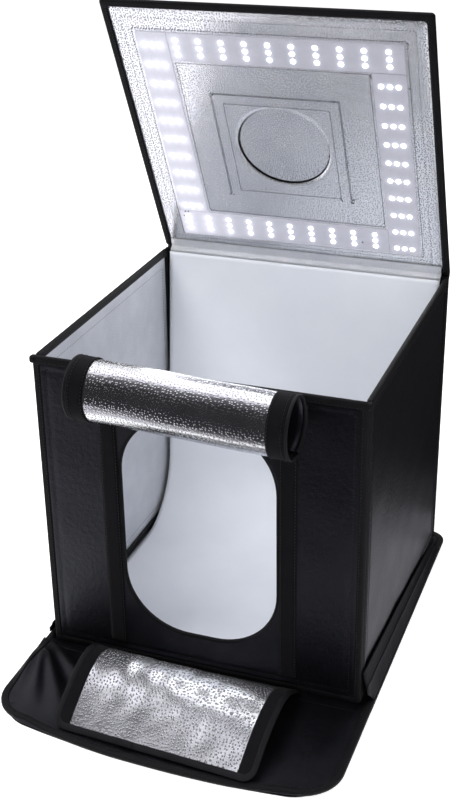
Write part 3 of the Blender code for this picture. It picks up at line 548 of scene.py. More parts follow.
def skinLevel(panel, across, along, outer, seed):
    # level = base + rise over the board, less a groove at the seam, plus slow ripples over the board; the
    # outer skin puffs up in a half sine between edge tape and seam, the inner skin falls back there
    look, seam = panelLook, panelLook["seam"]
    inside = np.minimum(panel["half"] - np.abs(across),
                        np.minimum(along - panel["low"], panel["high"] - along))
    over = smoothStep((inside - seam) / look["boardFade"])
    groove = look["groove"] * np.exp(-((inside - seam) / look["grooveWidth"]) ** 2)
    wave = ripples(across, along, seed, look["rippleSize"], look["ripple"]) * over
    board = look["boardRise"] * over - groove + wave
    if outer:
        puffed = np.clip((inside - look["puffFrom"]) / (seam - look["puffFrom"]), 0, 1)
        return look["outerLevel"] + board + look["puff"] * np.sin(pi * puffed)
    fall = look["marginFall"] * smoothStep((seam - inside) / (seam - look["marginFrom"]))
    return look["innerLevel"] + fall - look["innerShare"] * board


def panelSkin(name, panel, outer, seed, material, hole, middle):
    # a grid with finer steps near the edges, or rings from the hole's edge to the panel's
    look, inset = panelLook, panelLook["skinInset"]
    half, low, high = panel["half"] - inset, panel["low"] + inset, panel["high"] - inset
    if hole is None:
        zone, steps = look["edgeZone"], int(2 * half / look["step"])
        edge = np.linspace(0, zone, 18)[:-1]
        across, along = np.meshgrid(*(
            np.concatenate([a + edge, np.linspace(a + zone, b - zone, steps), (b - edge)[::-1]])
            for a, b in ((-half, half), (low, high))))
    else:
        outline = roundedRectangle(-half, half, low, high, look["corner"], 12, 400)
        across, along = np.moveaxis(ringSurface(outline, hole, np.array(middle), 30, 520), -1, 0)
    grid = placeOn(panel, across, along, skinLevel(panel, across, along, outer, seed))
    thing = gridPiece(name, grid, material, ring=hole is not None, flat=(across, along))
    return thicken(faceToward(thing, panel["out"] * (1 if outer else -1)), look["skinThick"])


def panelSeams(panel, inset, level, facing):
    half, low, high = panel["half"] - inset, panel["low"] + inset, panel["high"] - inset
    return rectangleLines(-half, half, low, high, 12, lambda x, y: placeOn(panel, x, y, level), facing)


window = dict(half=0.095, low=0.056, high=0.345, corner=0.078)
port = dict(radius=0.0595, along=0.196)


def windowEdge(grow):
    half = window["half"] + grow
    return roundedRectangle(-half, half, window["low"] - grow, window["high"] + grow, window["corner"] + grow,
                            16, 40)


def portEdge(grow, steps=160):
    radius, angles = port["radius"] + grow, circle(steps)
    return np.column_stack([radius * np.cos(angles), port["along"] + radius * np.sin(angles)])


def makePanel(key, seed, nodes, body="tent", hole=None, middle=None):
    # two skins, the tape round the edge, and the stitches of board, tape and lining
    panel, look = panels[key], panelLook
    out, lining = panel["out"], film if key == "lid" else wallFilm
    skin = panelSkin(key + "Cover", panel, True, seed, oxford, hole, middle)
    settle(skin, body, "outer_fabric", nodes + "_cover")
    skin = panelSkin(key + "Lining", panel, False, seed + 1, lining, hole, middle)
    settle(skin, body, "silver_film", nodes + "_lining")

    def outline(inset):
        half = panel["half"] - inset
        return roundedRectangle(-half, half, panel["low"] + inset, panel["high"] - inset, look["corner"])

    section = tapeSection(look["tapeWidth"], 0, look["tapeHigh"])
    tape = edgeTape(key + "Binding", panel, outline, section, grosgrain)
    settle(tape, body, "grosgrain", nodes + "_binding")
    seamLevel = look["outerLevel"] + look["boardRise"] / 2 - look["groove"] * 0.5
    seams = panelSeams(panel, look["seam"], seamLevel, out)
    seams += panelSeams(panel, look["tapeSeam"], look["tapeHigh"] + 0.0001, out)
    settle(beads(key + "Stitching", seams, blackThread), body, "grosgrain")
    seams = panelSeams(panel, look["tapeSeam"], -0.0001, -out)
    settle(beads(key + "TapeStitching", seams, blackThread), body, "grosgrain")
    seams = panelSeams(panel, look["liningSeam"], look["liningLevel"], -out)
    settle(beads(key + "LiningStitching", seams, greyThread, length=look["liningStitch"],
                 radius=look["liningThread"]), body, "silver_film")


makePanel("rear", 11, "rear_wall")
makePanel("left", 21, "left_wall")
makePanel("right", 31, "right_wall")
makePanel("front", 41, "front_wall", hole=windowEdge(0.0011), middle=(0, 0.2005))
makePanel("lid", 51, "lid", "lid", hole=portEdge(-0.0002, 720), middle=(0, port["along"]))
settle(edgeTape("windowBinding", panels["front"], windowEdge, tapeSection(0.0040, 0.0006, 0.0062), grosgrain),
       "tent", "grosgrain", "window_binding")
settle(edgeTape("portBinding", panels["lid"], portEdge, tapeSection(0.0026, 0.0018, 0.0056), grosgrain),
       "lid", "grosgrain", "port_binding")


def foldedCorner(name, centre, size):
    # tape folded over at a corner, a rounded block: each way runs as size x sign(c) |c|^0.6, c being a ball's
    up, around = np.meshgrid(np.linspace(-pi / 2, pi / 2, 13), circle(24), indexing="ij")
    ball = np.stack([np.cos(up) * np.cos(around), np.cos(up) * np.sin(around), np.sin(up)], -1)
    grid = np.array(centre) + np.array(size) * np.sign(ball) * np.abs(ball) ** 0.6
    thing = gridPiece(name, grid, grosgrain, ring=True)
    reshape(thing, lambda work: bmesh.ops.remove_doubles(work, verts=work.verts, dist=1e-6))
    settle(turnOutward(thing), "tent", "grosgrain")


foldedCorner("frontCorner_left", (-0.1994, -0.1965, 0.3950), (0.0044, 0.0046, 0.0046))
foldedCorner("frontCorner_right", (0.1992, -0.1965, 0.3955), (0.0026, 0.0044, 0.0040))


def refinish(material, *names):
    # CAD nodes that stay get their material here
    for name in names:
        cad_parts[name].data.materials[0] = material


refinish(fibreboard, *(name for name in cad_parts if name.endswith("_board")))
print("panels made")

# bands beside the window, and the seam allowance above it
bandLook = dict(inside=0.099, outside=0.120, low=0.025, high=0.3824, level=0.0058, thick=0.0012,
                seam=0.0018, seamTop=0.01, step=0.004, ripple=0.0003)
hemLook = dict(half=0.099, low=0.3827, high=0.3907, thick=0.0025)
front = panels["front"]


def flatBand(name, left, right, low, high, thick, material, seed):
    # a flat tape on the front wall with faint ripples: level + ripples(across, along)
    look = bandLook
    across, along = np.meshgrid(*(np.linspace(a, b, max(4, int((b - a) / look["step"])))
                                  for a, b in ((left, right), (low, high))))
    level = look["level"] + thick + ripples(across, along, seed, 0.05, look["ripple"])
    thing = gridPiece(name, placeOn(front, across, along, level), material)
    return thicken(faceToward(thing, front["out"]), thick)


lines = []
for word, sign in (("left", -1), ("right", 1)):
    look = bandLook
    left, right = sorted((sign * look["inside"], sign * look["outside"]))
    band = flatBand("windowBand_" + word, left, right, look["low"], look["high"], look["thick"], loopTape,
                    60 + sign)
    settle(band, "tent", "hook_and_loop", "window_strip_" + word)
    for across in (look["inside"] + look["seam"], look["outside"] - look["seam"]):
        along = np.linspace(look["low"], look["high"] - look["seamTop"], 10)
        level = look["level"] + look["thick"] + 0.0001
        lines.append((placeOn(front, sign * across, along, level), front["out"]))
settle(beads("windowBandStitching", lines, blackThread), "tent", "hook_and_loop")
hem = flatBand("rollHem", -hemLook["half"], hemLook["half"], hemLook["low"], hemLook["high"],
               hemLook["thick"], oxford, 66)
settle(hem, "tent", "outer_fabric", "upper_flap_hem")

# the rolled upper flap
roll = dict(
    radius=0.0385, centreY=-0.2392, centreZ=0.3855, slope=-0.0425, seamZ=0.3907, turns=1.25, pitch=0.0038,
    lead=0.18, left=-0.121, right=0.129, band=0.021, bandThick=0.0010, film=0.0006, cover=0.0008, gap=0.0003,
    filmInset=0.019, filmTurns=1.02, coverInset=0.001, sag=0.0007, waves=(1.3, 5.1), sagFrom=0.8,
    rimOut=0.0012, rimHalf=0.0022,
    rimDepth=0.0013, rimThick=0.0017, seams=(0.004, 0.0192),
)


def rollPoints(x, swept, depth):
    # spiral about a sloping axis: radius = R - depth - pitch x swept / 2 pi; angle = start - swept, where
    # start is the angle at which the seam meets the wall; it sags by slow waves along and around
    centreZ = roll["centreZ"] + roll["slope"] * x
    start = np.arcsin((roll["seamZ"] - centreZ) / roll["radius"])
    radius = roll["radius"] - depth - roll["pitch"] * swept / (2 * pi)
    inner = (x - roll["left"]) / (roll["right"] - roll["left"])
    slow, fast = roll["waves"]
    dent = roll["sag"] * (np.sin(2 * pi * inner * slow + swept) + 0.6 * np.sin(fast * inner * pi - 2 * swept))
    radius = radius + dent * smoothStep(swept / roll["sagFrom"]) * 0.5
    angle = start - swept
    return np.stack([x, roll["centreY"] + radius * np.cos(angle), centreZ + radius * np.sin(angle)], -1)


def rollSheet(name, left, right, depth, material, stepX, stepRound, turns=roll["turns"]):
    span = roll["lead"] + 2 * pi * turns
    x, swept = np.meshgrid(np.linspace(left, right, int((right - left) / stepX)),
                           np.linspace(0, span, int(span * roll["radius"] / stepRound)))
    return gridPiece(name, rollPoints(x, swept, depth), material)


def rollRim(name, x):
    # bound edge of the rolled flap: an oval 4 mm wide and 3 mm deep carried round the spiral
    swept = np.linspace(0, roll["lead"] + 2 * pi * roll["turns"], 150)
    rows = [rollPoints(np.full(swept.shape, x + roll["rimHalf"] * cos(angle)), swept,
                       roll["rimDepth"] - roll["rimThick"] * sin(angle)) for angle in circle(12)]
    settle(turnOutward(gridPiece(name, rows, piping, tube=True)), "rolled_flap", "grosgrain")


def makeRoll():
    look, left, right = roll, roll["left"], roll["right"]
    filmDepth = look["bandThick"] + look["gap"]
    rollFilm = rollSheet("rolledFlapFilm", left + look["filmInset"], right - look["filmInset"], filmDepth,
                         rolledFilm, 0.0035, 0.0022, look["filmTurns"])
    settle(rollFilm, "rolled_flap", "silver_film", "upper_flap_lining")
    cover = rollSheet("rolledFlapCover", left + look["coverInset"], right - look["coverInset"],
                      filmDepth + look["film"] + look["gap"], oxford, 0.006, 0.003)
    settle(thicken(cover, look["cover"]), "rolled_flap", "outer_fabric", "upper_flap_cover")
    for word, start in (("left", left), ("right", right - look["band"])):
        band = rollSheet("rolledFlapBand_" + word, start, start + look["band"], 0.0, loopTape, 0.003, 0.0022)
        settle(thicken(band, look["bandThick"]), "rolled_flap", "hook_and_loop", "upper_flap_band_" + word)
    rollRim("rolledFlapRim_left", left - look["rimOut"])
    rollRim("rolledFlapRim_right", right + look["rimOut"])
    swept = np.linspace(0.2, 2 * pi * 0.98, 160)
    edge, inner = look["seams"]
    lines = [(rollPoints(np.full(160, x), swept, -0.0002), (1, 0.01, 0.02))
             for x in (left + edge, left + inner, right - inner, right - edge)]
    settle(beads("rolledFlapStitching", lines, blackThread), "rolled_flap", "hook_and_loop")


makeRoll()
print("rolled flap made")

# the lower flap, folded out; slant is how much longer it is at its right edge
lowerFlap = dict(
    half=0.1265, reach=0.151, slant=0.017, rootY=-0.2045, rootZ=0.0085, tipZ=0.00675, tipRise=0.0018,
    bulgeLeft=0.040, bulgeRight=0.028, bulgeShare=0.75, rootHold=0.35, flat=0.07, corner=0.015, band=0.021,
    edge=0.001, film=0.018, rootWidth=0.14, crease=(0.05, 0.0022), fineCrease=(0.028, 0.0006), cloth=0.19,
    filmLift=0.00085, coverLift=-0.0001, coverThick=0.0008, bandLift=0.0016, bandThick=0.0010,
)
lowerTape = np.array([  # (inset, lift) round the piping's section
    (0.007, 0.0010), (0.0066, 0.0017), (0.004, 0.0019), (0.0010, 0.0016), (0.0002, 0.0009), (0, 0),
    (0.0002, -0.0009), (0.0010, -0.0015), (0.004, -0.0017), (0.0066, -0.0015), (0.007, -0.0008)])
tapeEnd = dict(at=-0.0225, length=0.012, grow=0.0011)


def lowerHeight(x, share):
    # straight from seam to tip, plus bulge x sin(pi share^0.75) held down close to the seam, plus creases
    # that run from the seam forward
    look = lowerFlap
    lean = (x + look["half"]) / (2 * look["half"])
    bulge = look["bulgeLeft"] + (look["bulgeRight"] - look["bulgeLeft"]) * lean
    straight = look["rootZ"] + (look["tipZ"] + look["tipRise"] * np.clip(lean, 0, 1) - look["rootZ"]) * share
    rise = bulge * np.sin(pi * np.clip(share, 0, 1) ** look["bulgeShare"])
    rise = rise * (1 - look["rootHold"] * (1.35 - 0.35 * lean) * np.exp(-(share / look["rootWidth"]) ** 2))
    crease = ripples(x * 1.2, share * 0.05, 71, *look["crease"])
    crease = crease + ripples(x, share * look["reach"], 72, *look["fineCrease"])
    return straight + rise + crease * np.sin(pi * np.clip(share, 0, 1)) ** 0.7


def lowerPoints(x, along, lift):
    # the height curve in a plane across the seam, moved off it by lift along its normal
    look = lowerFlap
    x, along = np.asarray(x, float), np.asarray(along, float)
    share = np.clip(along / look["reach"], 0, 1)
    ahead, back = np.clip(share + 0.01, 0, 1), np.clip(share - 0.01, 0, 1)
    reach = look["reach"] + look["slant"] * np.clip(x / (2 * look["half"]) + 0.5, 0, 1)
    runY = -reach * (ahead - back)
    runZ = lowerHeight(x, ahead) - lowerHeight(x, back)
    length = np.hypot(runY, runZ)
    y = look["rootY"] - reach * share + lift * runZ / length
    return np.stack([x, y, lowerHeight(x, share) - lift * runY / length], -1)


def lowerPiece(thing, slot, *nodes):
    settle(thing, "window_flap", slot, *nodes)
    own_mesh(thing)
    return thing


def lowerSheet(name, left, right, lift, material, step):
    look, inset = lowerFlap, lowerFlap["edge"]
    reach = look["reach"] - inset
    x, along = np.meshgrid(np.linspace(left, right, max(3, int((right - left) / step))),
                           np.linspace(0, reach, int(look["cloth"] / step)))
    x, along = roundCorners(x, along, look["half"] - inset, reach, look["corner"] - inset)
    return gridPiece(name, lowerPoints(x, along, lift), material, inward=True)


def makeLowerFlap():
    look, half = lowerFlap, lowerFlap["half"]
    sheet = lowerSheet("lowerFlapFilm", look["film"] - half, half - look["film"], look["filmLift"],
                       foldedFilm, 0.0022)
    lowerPiece(sheet, "silver_film", "lower_flap_lining")
    cover = lowerSheet("lowerFlapCover", look["edge"] - half, half - look["edge"], look["coverLift"],
                       oxford, 0.004)
    lowerPiece(thicken(cover, look["coverThick"]), "outer_fabric", "lower_flap_cover")
    for word, sign in (("left", -1), ("right", 1)):
        left, right = sorted((sign * (half - look["band"]), sign * (half - look["edge"])))
        band = lowerSheet("lowerFlapBand_" + word, left, right, look["bandLift"], loopTape, 0.0025)
        lowerPiece(thicken(band, look["bandThick"]), "hook_and_loop", "lower_flap_band_" + word)
    rows = []
    for inset, lift in lowerTape:
        x, along = threeSides(half - inset, 0, look["reach"] - inset, look["corner"] - inset, -1,
                              (50, 9, 60)).T
        rows.append(lowerPoints(x, along, lift))
    tape = turnOutward(gridPiece("lowerFlapBinding", rows, piping, tube=True))
    lowerPiece(tape, "grosgrain", "lower_flap_binding")
    # the tape's end laps over its start at the front: the same section, a little larger, over 12 mm
    share = np.array([0, 0.03, 0.2, 0.5, 0.8, 0.97, 1])
    grow = tapeEnd["grow"] * np.array([0, 1, 1, 1, 1, 1, 0])
    rows = [lowerPoints(tapeEnd["at"] - tapeEnd["length"] * (1 - share), look["reach"] - inset + grow,
                        lift + (lift > 0) * grow) for inset, lift in lowerTape]
    lowerPiece(turnOutward(gridPiece("lowerFlapTapeEnd", rows, piping, tube=True)), "grosgrain")


makeLowerFlap()
print("lower flap made")

# the case: base, front flap, side flaps
case = dict(half=0.2145, rear=0.2145, front=-0.2048, corner=0.022, tape=0.010, tapeLow=0.0003,
            baseHigh=0.0059, flapHigh=0.0058, flapRoot=-0.2051, flapLength=0.153, skew=0.008, bow=0.021,
            flapCorner=0.050)
baseLook = dict(half=0.1922, front=-0.1965, liningLevel=0.0047, liningThick=0.0006, rimOut=0.2130,
                rimFront=-0.2030, rimGap=0.0001, coverLevel=0.0013, coverThick=0.0010, coverInset=0.0095,
                wave=(0.12, 0.0003))
floorPanel = dict(origin=np.zeros(3), side=np.array((1.0, 0, 0)), up=np.array((0, 1.0, 0)),
                  out=np.array((0, 0, 1.0)))


def baseEdge(inset):
    return threeSides(case["half"] - inset, case["front"], case["rear"] - inset, case["corner"] - inset, 1,
                      (60, 10, 60))


hingeFold = dict(wallY=-0.1975, flapY=-0.2140, top=0.0054, under=0.0006, bow=0.0004, thick=0.0004,
                 inset=0.004, start=(0, -0.2015, 0), end=(0, -0.2105, 0), rows=12)


def caseHinge(name, level, flip):
    # nylon across the fold line: straight from under the wall to the flap, bowed by a half sine
    look, half = hingeFold, case["half"] - hingeFold["inset"]
    y = np.linspace(look["wallY"], look["flapY"], look["rows"])
    x, row = np.meshgrid(np.linspace(-half, half, 90), np.arange(look["rows"]))
    z = level + look["bow"] * np.sin(pi * row / (look["rows"] - 1))
    piece = thicken(gridPiece(name, np.stack([x, y[row], z], -1), nylon, inward=flip), look["thick"])
    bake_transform(piece)


def makeBase():
    look, half, inset = baseLook, baseLook["half"], baseLook["coverInset"]
    tape = edgeTape("baseBinding", floorPanel, baseEdge, tapeSection(case["tape"], case["tapeLow"],
                                                                     case["baseHigh"]), grosgrain, False)
    settle(tape, "tent", "grosgrain", "base_binding")
    caseHinge("caseHingeTop", hingeFold["top"], True)
    caseHinge("caseHingeUnder", hingeFold["under"], False)
    across, along = np.meshgrid(np.linspace(-half, half, 70), np.linspace(look["front"], half, 70))
    level = look["liningLevel"] + ripples(across, along, 81, *look["wave"])
    lining = gridPiece("baseLining", placeOn(floorPanel, across, along, level), wallFilm)
    settle(thicken(lining, look["liningThick"]), "tent", "silver_film", "base_lining")
    out, inner = look["rimOut"], half + look["rimGap"]
    outline = roundedRectangle(-out, out, look["rimFront"], out, case["corner"] - 0.0015, 12, 200)
    hole = roundedRectangle(-inner, inner, look["front"] - look["rimGap"], inner, 0.0005, 4, 200)
    across, along = np.moveaxis(ringSurface(outline, hole, np.zeros(2), 6, 600), -1, 0)
    rim = gridPiece("baseRim", placeOn(floorPanel, across, along, look["liningLevel"]), nylon, ring=True)
    settle(thicken(faceToward(rim, (0, 0, 1)), look["liningThick"]), "tent", "case_fabric")
    half, reach = case["half"] - inset, case["rear"] - case["front"] - inset
    across, along = np.meshgrid(np.linspace(-half, half, 70), np.linspace(0, reach, 70))
    across, along = roundCorners(across, along, half, reach, case["corner"] - inset)
    level = look["coverLevel"] + ripples(across, along, 81, *look["wave"])
    cover = gridPiece("baseCover", placeOn(floorPanel, across, along + case["front"], level), nylon)
    settle(thicken(cover, look["coverThick"]), "tent", "case_fabric", "base_cover")


makeBase()
flapFolds = (  # start x, y, end x, y, height, width of each soft fold that fans out from the wall's corner
    (-0.205, 0.012, -0.120, 0.135, 0.0070, 0.010),
    (-0.209, 0.012, -0.165, 0.128, 0.0085, 0.008),
    (-0.212, 0.020, -0.197, 0.105, 0.0070, 0.006),
    (-0.190, 0.010, -0.060, 0.120, 0.0040, 0.012),
)
flapLook = dict(inset=0.002, topLevel=0.0046, topThick=0.0010, underLevel=0.0016, underThick=0.0012,
                seam=0.0085, seamLevel=0.0060, fill=0.15, wave=(0.09, 0.0012), rest=0.0006)


def flapFront(x):
    # distance from root to front edge: length + skew s + bow (1 - s^2), s = x / half
    share = x / case["half"]
    return case["flapLength"] + case["skew"] * share + case["bow"] * (1 - share * share)


def flapPoints(x, along, level):
    # each fold is a ridge: height x exp(-(off / width)^2) x sin(pi share of its length), on slow ripples
    lift = 0.5 * (ripples(x, along, 91, *flapLook["wave"]) + flapLook["rest"]) + 0.0004
    for startX, startY, endX, endY, tall, wide in flapFolds:
        runX, runY = endX - startX, endY - startY
        length = hypot(runX, runY)
        share = ((x - startX) * runX + (along - startY) * runY) / length ** 2
        off = ((x - startX) * runY - (along - startY) * runX) / length
        wide = wide * (0.5 + np.clip(share, 0, 1))
        lift = lift + tall * np.exp(-(off / wide) ** 2) * np.sin(pi * np.clip(share, 0.02, 1) ** 0.8)
    return np.stack([x, case["flapRoot"] - along, level + np.maximum(lift, 0)], -1)


def flapSkin(name, level, thick, *nodes):
    inset = flapLook["inset"]
    half = case["half"] - inset
    x, share = np.meshgrid(np.linspace(-half, half, 150), np.linspace(0, 1, 70))
    reach = flapFront(x) - inset
    x, along = roundCorners(x, share * reach, half, reach, case["flapCorner"] - inset)
    piece = thicken(gridPiece(name, flapPoints(x, along, level), nylon, inward=True), thick)
    return settle(piece, "case_flap", "case_fabric", *nodes)


def flapOutline(inset):
    # down the left side, round, along the bowed front, round, and back up the right side
    half, radius = case["half"] - inset, case["flapCorner"] - inset
    share = np.linspace(0, 1, 60)[:-1]
    angles = np.linspace(0, pi / 2, 16)
    sides = []
    for sign in (-1, 1):
        reach = flapFront(sign * (half - radius / 3)) - inset
        straight = np.column_stack([np.full(len(share), sign * half), share * (reach - radius)])
        corner = np.column_stack([sign * (half - radius + radius * np.cos(angles)),
                                  reach - radius + radius * np.sin(angles)])
        sides.append(np.vstack([straight, corner]))
    across = np.linspace(radius - half, half - radius, 90)[1:-1]
    blend = 1 - np.exp(-((half - radius - np.abs(across)) / 0.02))
    ends = np.where(across < 0, sides[0][-1, 1], sides[1][-1, 1])
    along = ends + (flapFront(across) - inset - ends) * blend
    return np.vstack([sides[0], np.column_stack([across, along]), sides[1][::-1]])


def makeCaseFlap():
    look = flapLook
    top = flapSkin("caseFlapTop", look["topLevel"], look["topThick"], "case_flap_lining", "case_flap_foam")
    flapSkin("caseFlapUnder", look["underLevel"], look["underThick"], "case_flap_cover")
    rows = [flapPoints(*flapOutline(inset).T, level)
            for inset, level in tapeSection(case["tape"], case["tapeLow"], case["flapHigh"])]
    tape = turnOutward(gridPiece("caseFlapBinding", rows, grosgrain, tube=True))
    settle(tape, "case_flap", "grosgrain", "case_flap_binding")
    line = flapPoints(*flapOutline(look["seam"]).T, look["seamLevel"])
    settle(beads("caseFlapStitching", [(line, (0, 0.01, 1))], blackThread), "case_flap", "grosgrain")


makeCaseFlap()
sideFlap = dict(rear=0.176, front=-0.187, lean=0.0125, foot=0.0072, footX=0.2125, topX=0.2021, first=0.02,
                thick=0.0016, ridge=0.0008, ridgeAt=0.55, ridgeWidth=0.12, wave=(0.05, 0.0006), weltRow=14,
                welt=0.0008, length=0.366)
sideFlaps = (  # side, sign, height at the front, cut height, cut area
    ("left", -1, 0.024, 0.026, 0.0067), ("right", 1, 0.045, 0.0465, 0.0107))


def makeSideFlap(word, sign, rise, cutHeight, cutArea):
    # a wedge that leans on the wall: z = foot + rise along^0.7 up, x from foot to top as up^0.8, with a ridge
    look = sideFlap
    along, up = np.meshgrid(np.linspace(sqrt(look["first"]), 1, 70) ** 2, np.linspace(0, 1, 26))
    y = look["rear"] + (look["front"] - look["rear"] - look["lean"] * smoothStep(up / 0.4)) * along
    wave = ripples(y, up * 0.03, 95 + sign, *look["wave"]) * np.sin(pi * up)
    ridge = look["ridge"] * np.exp(-((up - look["ridgeAt"]) / look["ridgeWidth"]) ** 2)
    x = sign * (look["footX"] + (look["topX"] - look["footX"]) * up ** 0.8 + ridge + wave)
    grid = np.stack([x, y, look["foot"] + rise * along ** 0.7 * up], -1)
    piece = gridPiece("sideFlap_" + word, grid, mattNylon, inward=sign > 0)
    settle(thicken(piece, look["thick"] * 0.8, 0), word + "_gusset", "case_fabric", "side_flap_" + word)
    # a corded welt runs along the flap: a small circle carried along one of its lines
    line = grid[look["weltRow"]] + (sign * look["thick"] * 0.5, 0, 0)
    rows = [line + look["welt"] * np.array((cos(a), 0, sin(a))) for a in circle(8)]
    # the welt's lighter tape is painted highlight along the flap's fold
    welt = turnOutward(gridPiece("sideFlapWelt_" + word, rows, piping, tube=True))
    settle(welt, word + "_gusset", "case_fabric")


for one in sideFlaps:
    makeSideFlap(*one)
print("case made")

# the backdrop
backdrop = dict(half=0.1895, floor=0.0054, front=-0.1864, sweep=0.100, topY=0.1890, topZ=0.397, lean=0.088,
                thick=0.0006, curl=0.0010, rows=120)


def makeBackdrop():
    # straight down at the lean, a quarter sweep, straight forward over the floor, read at even distances
    look, rows = backdrop, backdrop["rows"]
    tilt = atan(look["lean"])
    lineY = look["topY"] - (look["topZ"] - look["floor"] - look["sweep"]) * look["lean"]
    centreY, centreZ = lineY - look["sweep"] / cos(tilt), look["floor"] + look["sweep"]
    angles = np.linspace(-tilt, -pi / 2, 40)
    arc = np.column_stack([centreY + look["sweep"] * np.cos(angles),
                           centreZ + look["sweep"] * np.sin(angles)])
    path = np.vstack([[(look["topY"], look["topZ"])], arc, [(look["front"], look["floor"])]])
    profile = evenPoints(path, rows)
    x, row = np.meshgrid(np.linspace(-look["half"], look["half"], 70), np.arange(rows))
    # the sides curl forward a little
    y = profile[row, 0] - look["curl"] * (x / look["half"]) ** 2 * np.sin(pi * row / (rows - 1))
    sheet = gridPiece("backdropSheet", np.stack([x, y, profile[row, 1]], -1), sheetWhite)
    settle(thicken(sheet, look["thick"], 0), "tent", "backdrop_sheet", "backdrop")
    runAlong(path)[-1]


makeBackdrop()
refinish(loopTape, "backdrop_hang_strip")
print("backdrop made")

# the lid's hinge fabrics
lid = panels["lid"]
innerHinge = dict(half=0.1895, thick=0.0005, steps=30, flat=(0.379, 0.031),
                  onLid=((0.0150, 0.0009), (0.0118, 0.0001), (0.0085, -0.0010), (0.0040, -0.0018)),
                  onWall=((0.1921, 0.3990), (0.1925, 0.3930), (0.1930, 0.3860)),
                  start=(0, 0.1921, 0.3975), end=(0.0095, 0))
outerHinge = dict(half=0.1990, thick=0.0007, steps=34, flat=(0.398, 0.056),
                  onWall=((0.2009, 0.3685), (0.2009, 0.385), (0.2014, 0.393), (0.2048, 0.3985)),
                  onLid=((0.0015, 0.0070), (0.010, 0.0070), (0.020, 0.0070)),
                  start=(0, 0.201, 0.386), end=(0.010, 0.007))


def smoothPath(points, steps):
    # even samples along a Catmull-Rom curve through the points
    points = np.asarray(points, float)
    padded = np.vstack([2 * points[0] - points[1], points, 2 * points[-1] - points[-2]])
    t = np.linspace(0, 1, 12)[:-1, None]
    parts = [0.5 * (2 * b + (c - a) * t + (2 * a - 5 * b + 4 * c - d) * t ** 2
                    + (3 * b - a - 3 * c + d) * t ** 3)
             for a, b, c, d in zip(padded[:-3], padded[1:-2], padded[2:-1], padded[3:])]
    return evenPoints(np.vstack(parts + [points[-1:]]), steps)


def lidSide(along, level):
    return tuple(placeOn(lid, 0.0, along, level)[1:])


def hingeSheet(name, look, lidFirst, material):
    # a path in the (y, z) plane over the hinge, carried straight across
    lidPart, wallPart = [lidSide(*point) for point in look["onLid"]], list(look["onWall"])
    path = smoothPath(lidPart + wallPart if lidFirst else wallPart + lidPart, look["steps"])
    x, row = np.meshgrid(np.linspace(-look["half"], look["half"], int(2 * look["half"] / 0.006)),
                         np.arange(look["steps"]))
    piece = gridPiece(name, np.stack([x, path[row, 0], path[row, 1]], -1), material)
    thicken(piece, look["thick"], 0)
    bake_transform(piece)
    return piece


hingeLining = hingeSheet("hingeLining", innerHinge, True, hingeFilm)
hingeTape = hingeSheet("hingeTape", outerHinge, False, oxford)
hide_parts("lid_hinge_tape")
print("hinge made")

# the lid's lights
lights = dict(centre=0.1958, reach=0.16275, width=0.039, length=0.285, groups=10, pitch=0.0287, first=0.0095,
              rows=(-0.0103, 0, 0.0103), capRadius=0.0031, capLow=-0.0009, capHigh=-0.0018,
              filmMargin=0.0025, filmLevel=-0.0021, filmEdge=0.0007, filmRipple=0.0004, glowBase=(0.0, 0.72),
              glowPeak=(0.45, 1.15), glowSpread=(0.0046, 0.0068), glowRise=0.38, glowLeft=(0.115, 0.25),
              glowFront=(0.36, 0.33), edgeGlow=0.2, filmWave=0.03, seamGap=0.0042)


def onLid(x, along, level):
    # the lid's own across runs to -x, so x is turned round
    return placeOn(lid, -np.asarray(x, float), along, level)


def ledPlaces():
    # ten groups of three on each board; the four boards turn like a pinwheel about the ring's centre
    look = lights
    step = look["first"] + look["pitch"] * np.arange(look["groups"])
    run, row = (v.ravel() for v in np.meshgrid(step, look["rows"]))
    far, middle, side, centre = look["reach"], look["width"] / 2, look["length"], look["centre"]
    boards = ((far - side + run, centre + far - middle + row), (-far + run, centre - far + middle + row),
              (-far + middle + row, centre + far - side + run), (far - middle + row, centre - far + run))
    return np.vstack([np.column_stack(board) for board in boards])


leds = ledPlaces()


def makeCaps():
    # radius and height shares of a cap's rings, from its top down, turned round each light
    look, turns = lights, circle(10)
    rings = []
    for radius, tall in ((0, 1.0), (0.55, 0.86), (0.9, 0.45), (1.0, 0.0)):
        around = turns if radius else turns[:1]
        rings.append(onLid(leds[:, :1] + radius * look["capRadius"] * np.cos(around),
                           leds[:, 1:] + radius * look["capRadius"] * np.sin(around),
                           look["capLow"] + (look["capHigh"] - look["capLow"]) * tall))
    points = np.concatenate(rings, 1)
    faces = []
    for i in range(10):
        j = (i + 1) % 10
        faces += [(0, 1 + i, 1 + j, 1 + j), (1 + i, 11 + i, 11 + j, 1 + j), (11 + i, 21 + i, 21 + j, 11 + j)]
    faces = (np.array(faces)[None] + points.shape[1] * np.arange(len(leds))[:, None, None]).reshape(-1, 4)
    faces = [tuple(dict.fromkeys(face)) for face in faces.tolist()]  # the middle ones are triangles
    caps = meshPiece("ledCaps", points.reshape(-1, 3), faces, lens)
    settle(faceToward(caps, -lid["out"]), "lid", "circuit_board")


